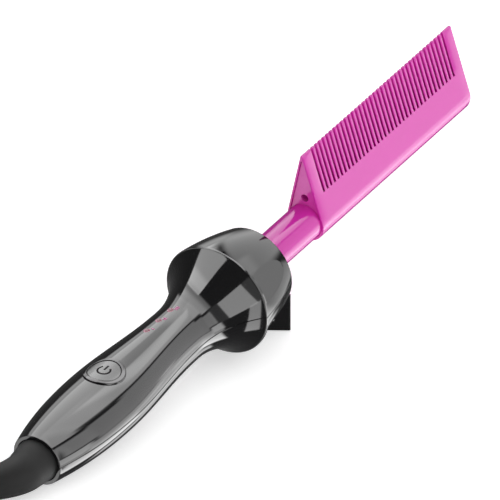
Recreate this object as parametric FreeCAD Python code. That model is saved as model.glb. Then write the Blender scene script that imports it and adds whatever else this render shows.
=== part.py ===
"""Electric hot comb: two-part handle with a bell-shaped heat guard and a foot, a stem, a heated
comb head, a sprung power button and a swivelling power cord put away in a hank.

The tool is drawn in its own frame: x runs along the tool axis towards the comb, from the plane
of the bell's rear rim, y to its left and z up. It is then tipped so that the foot and the
handle's end both stand on the floor. The cord is drawn on the floor. Sizes are in millimetres.
"""
import FreeCAD
import Part
import math
import os

Vector = FreeCAD.Vector

# ---- fits ----
press_gap = 0.05        # radial gap of a piece pressed or glued into its seat
running_gap = 0.05      # radial gap of a shaft that turns in its bore
slide_gap = 0.15        # side gap of the button in its bezel
stop_gap = 0.3          # gap between a moving piece and what stops it
screw_gap = 0.3         # radial gap of a screw in a through hole
reach = 60.0            # how far a cutting tool runs past what it cuts

# ---- handle ----
handle_length = 133.6
handle_end_radius = 11.7
handle_end_chamfer = 0.3
belly_setback = 88.0
belly_half_width = 17.8
belly_half_height = 14.4
belly_fullness = 2.2
waist_setback = 30.0
waist_radius = 13.1
shell_wall = 2.0
section_pitch = 4.5
seam_turn = 0.7         # keeps the skin's seam off the plane where the shells meet

# ---- bell ----
rim_radius = 25.5
rim_land = 0.8
rim_lip = 0.35
drum_length = 28.1
drum_front_radius = 18.9
drum_bulge = 0.75
front_edge_radius = 1.2
front_wall = 2.5
facet_angle = 30.0
facet_half_angle = 14.0
facet_length = 23.0

# ---- foot ----
foot_drop = 29.1
foot_top_half_width = 18.4
foot_bottom_half_width = 15.1
foot_front_lean = 2.5
foot_side_depth = 0.8
foot_rear_slope = 0.70

# ---- stem and comb head ----
stem_radius = 8.2
stem_wall = 1.2
stem_tail = 6.0
stem_insertion = 16.0
comb_start = 65.9
comb_length = 114.0
comb_base_radius = 9.24
comb_tip_radius = 0.8
comb_height = 33.6
comb_wall = 1.6
end_lip = 1.0
end_plate = 1.0
end_recess = 0.7
slot_count = 37
slot_width = 1.2
slot_floor = 13.4
slot_margin = 6.4
rear_hole_radius = 1.8
rear_hole_height = 11.8

# ---- heater ----
heater_length = 76.0
heater_width = 10.0
heater_thickness = 3.0
heater_setback = 10.0
sensor_radius = 1.3
sensor_length = 8.0
fuse_radius = 1.8
fuse_length = 11.0
lead_radius = 0.9
lead_spread = 3.3
supply_lead_spread = 5.2
lead_overlap = 0.9
sensor_lead_radius = 0.5
sensor_lead_spread = 0.8

# ---- collar and stem flange in the bell ----
collar_radius = 13.0
collar_neck_radius = 11.0
collar_flange = 1.5
flange_radius = 12.0
flange_thickness = 3.0
saddle_wall = 2.5
saddle_bore = 9.4

# ---- button and bezel ----
button_setback = 83.2
button_radius = 7.2
button_rise = 0.45
button_wall = 1.1
button_travel = 0.6
button_flange = 0.9
bezel_radius = 9.2
bezel_rise = 0.7
bezel_sleeve = 1.1
bezel_depth = 4.9

# ---- electronics ----
board_length = 66.0
board_half_width = 8.0
board_thickness = 1.6
board_height = 4.6
board_setback = 26.0
switch_side = 6.0
switch_height = 3.5
plunger_radius = 1.75
plunger_rise = 1.0
plunger_depth = 1.0
indicator_setbacks = (49.1, 40.3, 31.4)
indicator_offset = 1.7
indicator_radius = 1.5
indicator_rise = 0.25
led_length = 2.0
led_width = 1.25
led_height = 0.8
chip_size = (9.0, 6.0, 1.6)
chip_setback = 62.0
triac_size = (10.0, 9.0, 4.5)
triac_setback = 42.0
capacitor_radius = 4.0
capacitor_length = 14.0
capacitor_setback = 66.0
post_radius = 2.4
post_places = ((-87.6, -4.6), (-55.0, 5.2), (-31.8, -5.0))
board_screw_radius = 1.1
board_screw_head = 2.0
board_screw_head_height = 1.2
board_screw_grip = 6.0

# ---- screws that join the shells ----
shell_screw_radius = 1.3
shell_screw_head = 2.5
shell_screw_head_height = 1.8
shell_screw_grip = 6.0
shell_boss_radius = 3.3
shell_head_depth = 5.0
shell_screw_places = ((-96.6, 0.0), (12.0, 17.0), (12.0, -17.0))

# ---- cord swivel ----
opening_radius = 10.2
opening_depth = 12.6
housing_radius = 10.8
housing_wall = 1.9
housing_length = 19.0
housing_floor = 6.0
housing_rib = 2.5
spindle_radius = 5.0
spindle_bore = 2.5
spindle_tail = 10.0
spindle_flange_radius = 8.0
spindle_flange = 2.2
ring_board = 1.6
ring_height = 0.4
ring_radii = ((6.0, 7.2), (3.4, 4.6))
brush_radius = 0.5
brush_board = 2.0
conductor_radius = 0.9
conductor_spread = 1.2

# ---- boot, cord, hank, tie and plug, in the floor frame ----
boot_radius = 9.8
boot_end_radius = 4.3
boot_bend_radius = 26.0
boot_corner_setback = 14.3
boot_sections = 16
boot_straight = 1.0
boot_step = 0.15
cord_diameter = 6.2
cord_length = 1800.0
lead_first_run = 13.5
lead_start = (-200.0, 22.5, 5.4)
lead_route = (
    (-223.0, 36.8, 3.1),
    (-255.0, 36.8, 3.1),
)
tail_route = (
    (-301.5, -26.8, 9.4),
    (-287.5, -26.8, 11.4),
    (-250.1, -26.8, 15.8),
    (-234.6, -11.3, 16.4),
    (-234.6, 8.5, 17.9),
    (-250.1, 24.0, 19.2),
    (-273.0, 24.0, 19.2),
)
hank_centre = (-301.5, 5.0)
hank_run = 93.0
hank_mid_radius = 25.5
hank_turn_gap = 0.1
hank_columns = 3
hank_layers = 2
hank_turns = 4.64
hank_edge_radius = 2.6
tie_width = 8.0
tie_thickness = 0.7
tie_offset = -24.0
plug_turn = 180.0
plug_relief_length = 20.0
plug_relief_radii = (3.6, 5.2)
plug_length = 34.0
plug_half_width = 17.6
plug_rear_half_width = 7.0
plug_rear_length = 13.0
plug_thickness = 13.4
plug_edge_radius = 1.6
pin_radius = 2.0
pin_length = 19.0
pin_spacing = 18.6


# ---- lines that follow from the sizes above ----
handle_end = -handle_length
foot_front = drum_length + foot_front_lean
tilt = math.atan2(foot_drop - handle_end_radius, foot_front - handle_end - handle_end_chamfer)
foot_depth = foot_side_depth + foot_rear_slope * foot_bottom_half_width
board_front = -board_setback
board_rear = board_front - board_length
board_top = board_height + board_thickness
comb_end = comb_start + comb_length
comb_tip_height = comb_height - comb_tip_radius
comb_half_angle = math.asin((comb_base_radius - comb_tip_radius) / comb_tip_height)
stem_end = comb_start + stem_insertion
housing_rear = handle_end + opening_depth
housing_front = housing_rear + housing_length
flange_rear = -flange_thickness / 2
lead_height = board_height - lead_radius
sensor_height = board_height - sensor_lead_radius
heater_rear = stem_end + heater_setback


def round_bar(radius, start, end, y=0.0, z=0.0):
    """A cylinder along x, from start to end."""
    return Part.makeCylinder(radius, end - start, Vector(start, y, z), Vector(1, 0, 0))


def round_tube(outer, inner, start, end, y=0.0, z=0.0):
    """A hollow cylinder along x."""
    return round_bar(outer, start, end, y, z).cut(round_bar(inner, start, end, y, z))


def upright(radius, x, y, low, high):
    """A cylinder along z, from low to high."""
    return Part.makeCylinder(radius, high - low, Vector(x, y, low), Vector(0, 0, 1))


def block(low, high):
    """A box between two opposite corners."""
    size = [top - bottom for bottom, top in zip(low, high)]
    return Part.makeBox(size[0], size[1], size[2], Vector(*low))


def fuse_all(shapes):
    """One shape from several that touch or overlap."""
    return shapes[0].fuse(shapes[1:]).removeSplitter() if len(shapes) > 1 else shapes[0]


def flare_sweep():
    """Radius of the arc that opens the waist out to the bell's rim."""
    depth = rim_radius - rim_lip - waist_radius
    run = waist_setback - rim_land
    return (run ** 2 + depth ** 2) / (2 * depth)


def flare_lean(x):
    """Cosine of the flare's slope at x; 1 behind the waist, where the skin runs nearly level."""
    return math.sqrt(1 - (max(0.0, x + waist_setback) / flare_sweep()) ** 2)


def handle_half_size(x, end, belly, waist):
    """Half the handle's width or height at x: a power curve, then a cosine, then the flare's arc."""
    back = -x
    if back < waist_setback:
        return waist + flare_sweep() * (1 - flare_lean(x))
    if back >= belly_setback:
        share = (back - belly_setback) / (handle_length - belly_setback)
        return belly - (belly - end) * share ** belly_fullness
    share = (belly_setback - back) / (belly_setback - waist_setback)
    return waist + (belly - waist) * (1 + math.cos(math.pi * share)) / 2


def half_width(x):
    """Half the handle's width at x."""
    return handle_half_size(x, handle_end_radius, belly_half_width, waist_radius)


def half_height(x):
    """Half the handle's height at x."""
    return handle_half_size(x, handle_end_radius, belly_half_height, waist_radius)


def surface_height(x, y):
    """Height of the handle's top surface above the axis."""
    return half_height(x) * math.sqrt(1 - (y / half_width(x)) ** 2)


def handle_skin(offset, start, end):
    """The oval body from handle to rim between two stations, grown by offset square to its skin."""
    sections = []
    steps = math.ceil((end - start) / section_pitch)
    for step in range(steps + 1):
        x = start + (end - start) * step / steps
        growth = offset / flare_lean(x)
        height = half_height(x) + growth
        width = max(half_width(x) + growth, height + 0.001)
        oval = Part.Ellipse(Vector(x, width, 0), Vector(x, 0, height), Vector(x, 0, 0))
        sections.append(Part.Wire(oval.toShape(seam_turn, seam_turn + 2 * math.pi)))
    return Part.makeLoft(sections, True, False)


def drum_line(x):
    """Radius of the straight line from the bell's rim to its front edge."""
    return rim_radius + (drum_front_radius - rim_radius) * x / drum_length


def drum_body(inset, front):
    """The turned drum from the rim's rear face to front, shrunk by inset."""
    rim_rear = Vector(-rim_land, 0, rim_radius - inset)
    rim_front = Vector(0, 0, rim_radius - inset)
    front_edge = Vector(front, 0, drum_line(front) - inset)
    middle = Vector(front / 2, 0, (rim_front.z + front_edge.z) / 2 + drum_bulge)
    edges = [
        Part.makeLine(Vector(rim_rear.x, 0, 0), rim_rear),
        Part.makeLine(rim_rear, rim_front),
        Part.Arc(rim_front, middle, front_edge).toShape(),
        Part.makeLine(front_edge, Vector(front, 0, 0)),
        Part.makeLine(Vector(front, 0, 0), Vector(rim_rear.x, 0, 0)),
    ]
    face = Part.Face(Part.Wire(edges))
    return face.revolve(Vector(0, 0, 0), Vector(1, 0, 0), 360)


def facet_cutters():
    """Four flat leaf-shaped facets, two on each side of the drum, above and below its middle."""
    rim_chord = rim_radius * math.cos(math.radians(facet_half_angle))
    tip_radius = drum_line(facet_length) + drum_bulge * 0.6
    fall = (tip_radius - rim_chord) / facet_length
    ends = [rim_land, facet_length + rim_land]
    low = [rim_chord + fall * x for x in ends]
    outline = [
        Vector(ends[0], 0, low[0]),
        Vector(ends[1], 0, low[1]),
        Vector(ends[1], 0, rim_radius * 2),
        Vector(ends[0], 0, rim_radius * 2),
        Vector(ends[0], 0, low[0]),
    ]
    prism = Part.Face(Part.makePolygon(outline)).extrude(Vector(0, rim_radius, 0))
    prism.translate(Vector(0, -rim_radius / 2, 0))
    cutters = []
    for angle in (facet_angle, -facet_angle, 180 - facet_angle, 180 + facet_angle):
        cutter = prism.copy()
        cutter.rotate(Vector(0, 0, 0), Vector(1, 0, 0), angle - 90)
        cutters.append(cutter)
    return Part.makeCompound(cutters)


def foot_layer(z, half, front):
    """The foot's outline at one height: straight front, narrow sides and a V-shaped rear."""
    side = front - foot_side_depth
    apex = side - foot_rear_slope * half
    corners = [(front, half), (front, -half), (side, -half), (apex, 0), (side, half), (front, half)]
    return Part.makePolygon([Vector(x, y, z) for x, y in corners])


def foot_body():
    """The foot, from the middle plane down to just past the floor."""
    top = foot_layer(0, foot_top_half_width, drum_length)
    bottom = foot_layer(-foot_drop, foot_bottom_half_width, foot_front)
    deep = foot_layer(-foot_drop - reach, foot_bottom_half_width, foot_front)
    upper = Part.makeLoft([top, bottom], True, True)
    lower = Part.makeLoft([bottom, deep], True, True)
    clear_of_collar = round_bar(collar_radius + press_gap, 0, foot_front + reach)
    return upper.fuse(lower).cut(clear_of_collar).removeSplitter()


def shell_cavity():
    """The hollow inside both shells."""
    oval = handle_skin(-shell_wall, housing_rear, -rim_land)
    drum = drum_body(shell_wall, drum_length - front_wall)
    opening = round_bar(opening_radius, handle_end - reach, housing_rear)
    front_opening = round_bar(collar_neck_radius + press_gap, 0, drum_length + reach)
    return fuse_all([oval, drum, opening, front_opening])


def outer_body():
    """The closed outer form of handle and bell, with its facets."""
    drum = drum_body(0, drum_length)
    front_edges = [
        edge for edge in drum.Edges
        if abs(edge.BoundBox.XMin - drum_length) < 0.01 and edge.BoundBox.ZLength > drum_front_radius
    ]
    drum = drum.makeFillet(front_edge_radius, front_edges).cut(facet_cutters())
    oval = handle_skin(0, handle_end, -rim_land)
    end_edges = [
        edge for edge in oval.Edges
        if edge.BoundBox.XMax < handle_end + 0.01
    ]
    oval = oval.makeChamfer(handle_end_chamfer, end_edges)
    return oval.fuse(drum)


def saddle():
    """Ribs in the bell that hold the stem's flange all round."""
    rear = flange_rear - saddle_wall
    front = flange_rear + flange_thickness + saddle_wall
    body = round_bar(rim_radius, rear, front).cut(round_bar(saddle_bore, rear, front))
    seat_start = flange_rear - press_gap
    seat = round_bar(flange_radius + press_gap, seat_start, seat_start + flange_thickness + 2 * press_gap)
    return body.cut(seat)


def housing_ribs():
    """Ribs in the handle that hold the swivel's housing."""
    ribs = []
    for start in (housing_rear + housing_rib, housing_front - 2 * housing_rib):
        rib = round_bar(belly_half_width, start, start + housing_rib)
        ribs.append(rib.cut(round_bar(housing_radius + press_gap, start, start + housing_rib)))
    stop = housing_front + press_gap
    stop_bore = housing_radius - housing_wall / 2
    ribs.append(round_tube(belly_half_width, stop_bore, stop, stop + housing_rib / 2))
    return ribs


def board_posts():
    """Posts that carry the control board, each with a pilot hole."""
    posts = []
    for x, y in post_places:
        post = upright(post_radius, x, y, -belly_half_width, board_height)
        pilot = upright(board_screw_radius + press_gap, x, y, board_top - board_screw_grip - 1, board_height)
        posts.append(post.cut(pilot))
    return posts


def shell_half(side):
    """One shell: side 1 is the top, side -1 the bottom, met at the middle plane."""
    low, high = (0, reach) if side > 0 else (-reach, 0)
    half_space = block((-handle_length - reach, -reach, low), (drum_length + reach, reach, high))
    outer_half = outer_body().common(half_space)
    cavity = shell_cavity()
    shell = outer_half.cut(cavity)
    inside = [saddle()] + housing_ribs()
    for x, y in shell_screw_places:
        inside.append(upright(shell_boss_radius, x, y, low, high))
    if side < 0:
        inside += board_posts()
    for piece in inside:
        shell = shell.fuse(piece.common(outer_half))
    if side < 0:
        # the foot grows out of the lower half of the bell and keeps the hollow clear
        shell = shell.fuse(foot_body().cut(cavity).common(half_space))
    for x, y in shell_screw_places:
        shell = shell.cut(shell_screw_cutter(x, y, side))
    return shell


def shell_screw_seat(x, y):
    """Height at which a shell screw's head bears, a set depth above the shell's lower surface."""
    if x < -waist_setback:
        lowest = half_height(x)
    else:
        lowest = math.sqrt(drum_line(x) ** 2 - y ** 2)
    return -lowest + shell_head_depth


def shell_screw_cutter(x, y, side):
    """Holes for one shell screw: counterbore and clearance below, pilot above."""
    if side > 0:
        return upright(shell_screw_radius + press_gap, x, y, -1, shell_screw_grip + 1)
    seat = shell_screw_seat(x, y)
    head = upright(shell_screw_head + screw_gap, x, y, -reach, seat)
    return head.fuse(upright(shell_screw_radius + screw_gap, x, y, seat, 1))


def shell_screws():
    """Three screws driven from below."""
    screws = []
    for x, y in shell_screw_places:
        seat = shell_screw_seat(x, y)
        head = upright(shell_screw_head, x, y, seat - shell_screw_head_height, seat)
        shank = upright(shell_screw_radius, x, y, seat, shell_screw_grip)
        screws.append(head.fuse(shank).removeSplitter())
    return Part.makeCompound(screws)


def top_shell():
    """The upper shell with its openings for the bezel and the indicators."""
    shell = shell_half(1)
    shell = shell.cut(upright(bezel_sleeve_radius() + press_gap, -button_setback, 0, board_top, reach))
    for setback in indicator_setbacks:
        hole = upright(indicator_radius + press_gap, -setback, indicator_offset, board_top, reach)
        shell = shell.cut(hole)
    return shell


def bezel_sleeve_radius():
    """Outer radius of the bezel's sleeve."""
    return button_radius + slide_gap + bezel_sleeve


def button_zone(offset):
    """The part of the handle near the button, grown by offset."""
    start = -button_setback - 2 * bezel_radius
    return handle_skin(offset, start, start + 4 * bezel_radius)


def button_bezel():
    """A raised ring that follows the handle's surface, on a sleeve through the shell."""
    top = belly_half_height - bezel_depth
    bore = upright(button_radius + slide_gap, -button_setback, 0, 0, reach)
    flange = upright(bezel_radius, -button_setback, 0, 0, reach)
    flange = flange.common(button_zone(bezel_rise)).cut(button_zone(0))
    sleeve = upright(bezel_sleeve_radius(), -button_setback, 0, top, reach).common(button_zone(0.02))
    return flange.fuse(sleeve).cut(bore).removeSplitter()


def power_button():
    """A hollow cap with a centre stem and a flange that stops it under the bezel."""
    x = -button_setback
    flange_top = belly_half_height - bezel_depth - stop_gap
    floor = board_top + switch_height + plunger_rise
    cap = upright(button_radius, x, 0, flange_top, reach).common(button_zone(button_rise))
    roof = surface_height(x, button_radius) - button_wall
    hollow = upright(button_radius - button_wall, x, 0, flange_top - button_flange, roof)
    flange = upright(bezel_sleeve_radius(), x, 0, flange_top - button_flange, flange_top)
    stem = upright(plunger_radius, x, 0, floor, roof)
    return cap.fuse(flange).cut(hollow).fuse(stem).removeSplitter()


def tact_switch():
    """The switch under the button, with a bore for its plunger."""
    half = switch_side / 2
    top = board_top + switch_height
    body = block((-button_setback - half, -half, board_top), (-button_setback + half, half, top))
    depth = plunger_depth + button_travel + stop_gap
    return body.cut(upright(plunger_radius + running_gap, -button_setback, 0, top - depth, top))


def switch_plunger():
    """The plunger that the button's stem presses."""
    top = board_top + switch_height
    return upright(plunger_radius, -button_setback, 0, top - plunger_depth, top + plunger_rise)


def indicator_lenses():
    """Three light pipes from above the lamps to just proud of the surface."""
    pipes = []
    for setback in indicator_setbacks:
        top = surface_height(-setback, indicator_offset) + indicator_rise
        low = board_top + led_height + stop_gap
        pipes.append(upright(indicator_radius, -setback, indicator_offset, low, top))
    return Part.makeCompound(pipes)


def indicator_leds():
    """Three lamps on the control board."""
    lamps = []
    for setback in indicator_setbacks:
        low = (-setback - led_length / 2, indicator_offset - led_width / 2, board_top)
        high = (-setback + led_length / 2, indicator_offset + led_width / 2, board_top + led_height)
        lamps.append(block(low, high))
    return Part.makeCompound(lamps)


def control_board():
    """The control board with its screw holes."""
    board = block((board_rear, -board_half_width, board_height), (board_front, board_half_width, board_top))
    for x, y in post_places:
        board = board.cut(upright(board_screw_radius + press_gap, x, y, 0, reach))
    return board


def board_screws():
    """Screws that hold the control board on its posts."""
    screws = []
    for x, y in post_places:
        shaft = upright(board_screw_radius, x, y, board_top - board_screw_grip, board_top)
        head = upright(board_screw_head, x, y, board_top, board_top + board_screw_head_height)
        screws.append(shaft.fuse(head).removeSplitter())
    return Part.makeCompound(screws)


def board_block(size, setback, above):
    """A block-shaped component on the board's upper or lower side."""
    length, width, height = size
    low_z = board_top if above else board_height - height
    low = (-setback - length / 2, -width / 2, low_z)
    return block(low, (-setback + length / 2, width / 2, low_z + height))


def capacitor():
    """The filter capacitor, lying under the board."""
    start = -capacitor_setback - capacitor_length / 2
    return round_bar(capacitor_radius, start, start + capacitor_length, 0, board_height - capacitor_radius)


def stem_tube():
    """The tube that carries the comb head."""
    return round_tube(stem_radius, stem_radius - stem_wall, -stem_tail, stem_end)


def stem_flange():
    """The insulating disc pressed on the stem and held in the bell's ribs."""
    front = flange_rear + flange_thickness
    return round_tube(flange_radius, stem_radius + press_gap, flange_rear, front)


def bell_front_collar():
    """The insulating collar round the stem, held by the edges of the bell's front opening."""
    rear = drum_length - front_wall
    neck = round_bar(collar_neck_radius, rear, drum_length)
    front_flange = round_bar(collar_radius, drum_length, drum_length + collar_flange)
    rear_flange = round_bar(collar_radius, rear - collar_flange, rear)
    body = fuse_all([rear_flange, neck, front_flange])
    return body.cut(round_bar(stem_radius + press_gap, rear - reach, drum_length + reach))


def comb_outline(base_radius, top):
    """A round base with flat sides that lean together, cut flat at the height top."""
    tangent_y = base_radius * math.cos(comb_half_angle)
    tangent_z = base_radius * math.sin(comb_half_angle)
    top_y = tangent_y - (top - tangent_z) * math.tan(comb_half_angle)
    left = Vector(0, tangent_y, tangent_z)
    right = Vector(0, -tangent_y, tangent_z)
    edges = [
        Part.Arc(left, Vector(0, 0, -base_radius), right).toShape(),
        Part.makeLine(right, Vector(0, -top_y, top)),
        Part.makeLine(Vector(0, -top_y, top), Vector(0, top_y, top)),
        Part.makeLine(Vector(0, top_y, top), left),
    ]
    return Part.Wire(edges)


def comb_prism(base_radius, top, start, end):
    """The comb's outline drawn out along x."""
    prism = Part.Face(comb_outline(base_radius, top)).extrude(Vector(end - start, 0, 0))
    prism.translate(Vector(start, 0, 0))
    return prism


def comb_outer():
    """The comb head's closed outer form, with a rounded tip."""
    side_y = comb_tip_radius * math.cos(comb_half_angle)
    side_z = comb_tip_height + comb_tip_radius * math.sin(comb_half_angle)
    body = comb_prism(comb_base_radius, side_z, comb_start, comb_end)
    tip = round_bar(comb_tip_radius, comb_start, comb_end, 0, comb_tip_height)
    keep = block((comb_start, -side_y * 2, side_z), (comb_end, side_y * 2, comb_height))
    return body.fuse(tip.common(keep)).removeSplitter()


def comb_slots():
    """The slots between the teeth, evenly spaced along the head."""
    first = comb_start + slot_margin + slot_width / 2
    pitch = (comb_length - 2 * slot_margin - slot_width) / (slot_count - 1)
    slots = []
    for index in range(slot_count):
        x = first + pitch * index
        low = (x - slot_width / 2, -comb_base_radius, slot_floor)
        slots.append(block(low, (x + slot_width / 2, comb_base_radius, comb_height + 1)))
    return Part.makeCompound(slots)


def comb_head():
    """The heated head: slots above, hollow below, a bore for the stem and a seat at each end."""
    roof = slot_floor - comb_wall
    seat = end_plate + end_recess
    lip_radius = comb_base_radius - end_lip
    lip_top = comb_height - 3 * end_lip
    hollow = comb_prism(comb_base_radius - comb_wall, roof, stem_end, comb_end)
    rear_seat = comb_prism(lip_radius, lip_top, comb_start, comb_start + seat)
    front_seat = comb_prism(lip_radius, lip_top, comb_end - seat, comb_end)
    bore = round_bar(stem_radius + press_gap, comb_start, stem_end)
    head = comb_outer()
    for cutter in (comb_slots(), hollow, bore, rear_seat, front_seat):
        head = head.cut(cutter)
    return head.removeSplitter()


def end_plate_body(start, gap_radius):
    """An end plate that drops into the comb's end seat."""
    radius = comb_base_radius - end_lip - press_gap
    plate = comb_prism(radius, comb_height - 3 * end_lip - press_gap, start, start + end_plate)
    if gap_radius:
        plate = plate.cut(round_bar(gap_radius, start - 1, start + end_plate + 1))
        upper = block((start - 1, -reach, gap_radius / 2), (start + end_plate + 1, reach, reach))
        plate = plate.common(upper)
        plate = plate.cut(round_bar(rear_hole_radius, start - 1, start + end_plate + 1, 0, rear_hole_height))
    return plate


def heater_band(low, high):
    """The hollow's outline between two heights, over the heater's length."""
    inner = comb_base_radius - comb_wall - press_gap
    roof = slot_floor - comb_wall - press_gap
    prism = comb_prism(inner, roof, heater_rear, heater_rear + heater_length)
    front = heater_rear + heater_length + 1
    return prism.common(block((heater_rear - 1, -reach, low), (front, reach, high)))


def heater():
    """The flat heating element between its two clamps."""
    half = heater_thickness / 2
    low = (heater_rear, -heater_width / 2, -half)
    return block(low, (heater_rear + heater_length, heater_width / 2, half))


def heater_leads():
    """Two leads under the board, through the stem, to the heater; one is broken by the fuse."""
    start = board_front - lead_overlap
    fuse_start = stem_end / 2
    pieces = [
        round_bar(lead_radius, start, heater_rear, lead_spread, lead_height),
        round_bar(lead_radius, start, fuse_start, -lead_spread, lead_height),
        round_bar(lead_radius, fuse_start + fuse_length, heater_rear, -lead_spread, lead_height),
    ]
    return Part.makeCompound(pieces)


def thermal_fuse():
    """The fuse in one heater lead, inside the stem."""
    start = stem_end / 2
    return round_bar(fuse_radius, start, start + fuse_length, -lead_spread, lead_height)


def sensor_bead():
    """The temperature sensor against the upper clamp."""
    return round_bar(sensor_radius, heater_rear - sensor_length, heater_rear, 0, sensor_height)


def sensor_leads():
    """Two thin leads from the board to the temperature sensor."""
    start = board_front - lead_overlap
    end = heater_rear - sensor_length
    pieces = [
        round_bar(sensor_lead_radius, start, end, side * sensor_lead_spread, sensor_height)
        for side in (-1, 1)
    ]
    return Part.makeCompound(pieces)


def swivel_housing():
    """A cup with a bored floor, held in the handle, that the spindle turns in."""
    cup = round_bar(housing_radius, housing_rear, housing_front)
    inside = round_bar(housing_radius - housing_wall, housing_rear + housing_floor, housing_front)
    return cup.cut(inside).cut(round_bar(spindle_radius + running_gap, housing_rear - 1, housing_front))


def swivel_lines():
    """Stations of the spindle's flange, the ring board, the rings and the brush board."""
    flange = housing_rear + housing_floor + stop_gap
    board = flange + spindle_flange
    rings = board + ring_board
    brushes = housing_front - brush_board
    return flange, board, rings, brushes


def swivel_spindle():
    """The hollow shaft on the cord's side, with its flange inside the housing."""
    flange, board, _, _ = swivel_lines()
    shaft = round_bar(spindle_radius, housing_rear - spindle_tail, board)
    head = round_bar(spindle_flange_radius, flange, board)
    return shaft.fuse(head).removeSplitter().cut(round_bar(spindle_bore, handle_end - reach, board + 1))


def slip_ring_board():
    """The disc that carries the contact rings."""
    _, board, rings, _ = swivel_lines()
    return round_bar(spindle_flange_radius, board, rings)


def contact_rings():
    """Two flat rings, one for each conductor."""
    _, _, rings, _ = swivel_lines()
    bands = [round_tube(outer, inner, rings, rings + ring_height) for inner, outer in ring_radii]
    return Part.makeCompound(bands)


def brush_block():
    """The disc across the housing's mouth that carries the brushes."""
    _, _, _, brushes = swivel_lines()
    return round_bar(housing_radius - housing_wall - press_gap, brushes, housing_front)


def contact_brushes():
    """Two sprung contacts, one on each ring."""
    _, _, rings, brushes = swivel_lines()
    tip = rings + ring_height + running_gap
    pieces = []
    for side, (inner, outer) in zip((1, -1), ring_radii):
        pieces.append(round_bar(brush_radius, tip, brushes, side * (inner + outer) / 2))
    return Part.makeCompound(pieces)


def supply_leads():
    """Two leads from the brush board to the control board's lower side."""
    end = board_rear + lead_overlap
    pieces = [
        round_bar(lead_radius, housing_front, end, side * supply_lead_spread, lead_height)
        for side in (-1, 1)
    ]
    return Part.makeCompound(pieces)


def cord_conductors():
    """The cord's two cores inside the spindle."""
    _, board, _, _ = swivel_lines()
    pieces = [
        round_bar(conductor_radius, housing_rear - spindle_tail, board, side * conductor_spread)
        for side in (-1, 1)
    ]
    return Part.makeCompound(pieces)


def tool_placement():
    """The move that tips the tool on to the floor, with the foot's middle at the origin."""
    turn = FreeCAD.Rotation(Vector(0, 1, 0), -math.degrees(tilt))
    middle = foot_front - foot_depth / 2
    low = -foot_drop + (foot_front - middle) * math.tan(tilt)
    return FreeCAD.Placement(turn.multVec(Vector(middle, 0, low)) * -1, turn)


placement = tool_placement()


def on_floor(shape):
    """A copy of a shape of the tool, moved to where it stands."""
    placed = shape.copy()
    placed.Placement = placement.multiply(placed.Placement)
    return placed


def axis_point(x):
    """A point of the tool axis in the floor frame."""
    return placement.multVec(Vector(x, 0, 0))


def rounded_path(points, radius_of):
    """Straight runs joined by tangent arcs; returns the edges and each arc's radius."""
    edges = []
    radii = []
    start = points[0]
    for before, corner, after in zip(points, points[1:], points[2:]):
        into = (corner - before).normalize()
        out = (after - corner).normalize()
        turn = into.getAngle(out)
        radius = radius_of((corner - before).Length, (after - corner).Length, turn)
        cut = radius * math.tan(turn / 2)
        first = corner - into * cut
        last = corner + out * cut
        bisector = (out - into).normalize()
        centre = corner + bisector * (radius / math.cos(turn / 2))
        edges.append(Part.makeLine(start, first))
        edges.append(Part.Arc(first, centre - bisector * radius, last).toShape())
        radii.append(radius)
        start = last
    edges.append(Part.makeLine(start, points[-1]))
    return edges, radii


def widest_arc(run_before, run_after, turn):
    """The arc radius that fits between two runs of a cord."""
    return 0.45 * min(run_before, run_after) / math.tan(turn / 2)


def cord_tube(name, route):
    """A round tube along a route, with its radii and volume printed for inspection."""
    points = [Vector(*point) for point in route]
    edges, radii = rounded_path(points, widest_arc)
    path = Part.Wire(edges)
    heading = (points[1] - points[0]).normalize()
    circle = Part.Wire(Part.makeCircle(cord_diameter / 2, points[0], heading))
    tube = path.makePipeShell([circle], True, True)
    section = math.pi * cord_diameter ** 2 / 4
    print(name, "length", round(path.Length, 1), "radii", [round(radius, 1) for radius in radii])
    print(name, "volume", round(tube.Volume, 1), "section times length", round(section * path.Length, 1))
    return tube, path.Length


def boot_ring(centre, heading, radius):
    """A round section square to heading, always started from the same side."""
    side = heading.cross(Vector(0, 0, 1)).normalize()
    up = side.cross(heading)
    ring = Part.Ellipse(centre + side * (radius + 0.001), centre + up * radius, centre)
    return Part.Wire(ring.toShape())


def boot_corner():
    """The point where the boot's two straight runs would meet."""
    return axis_point(handle_end - boot_corner_setback)


def cord_boot():
    """The strain relief: a round bar in the handle's end, then a bend that tapers to the cord."""
    inner = round_bar(boot_radius, handle_end - boot_straight, housing_rear - stop_gap)
    start = axis_point(handle_end)
    points = [start, boot_corner(), Vector(*lead_start)]
    edges, _ = rounded_path(points, lambda before, after, turn: boot_bend_radius)
    path = Part.Wire(edges)
    sections = []
    for step in range(boot_sections):
        share = step / (boot_sections - 1)
        rest = path.Length * share
        for edge in edges:
            if rest <= edge.Length or edge is edges[-1]:
                parameter = edge.getParameterByLength(min(rest, edge.Length))
                break
            rest -= edge.Length
        radius = boot_radius - boot_step + (boot_end_radius - boot_radius + boot_step) * share
        sections.append(boot_ring(edge.valueAt(parameter), edge.tangentAt(parameter), radius))
    body = Part.makeLoft(sections, True, False).fuse(on_floor(inner))
    socket = round_bar(spindle_radius + press_gap, housing_rear - spindle_tail - press_gap, housing_rear)
    print("boot length", round(path.Length + opening_depth - stop_gap, 1))
    return body.cut(on_floor(socket))


def hank_sizes():
    """Inner and outer radius of the hank's round ends, and its height."""
    half_span = hank_columns * (cord_diameter + hank_turn_gap) / 2
    height = hank_layers * cord_diameter + (hank_layers - 1) * hank_turn_gap / 2
    return hank_mid_radius - half_span, hank_mid_radius + half_span, height


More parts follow.
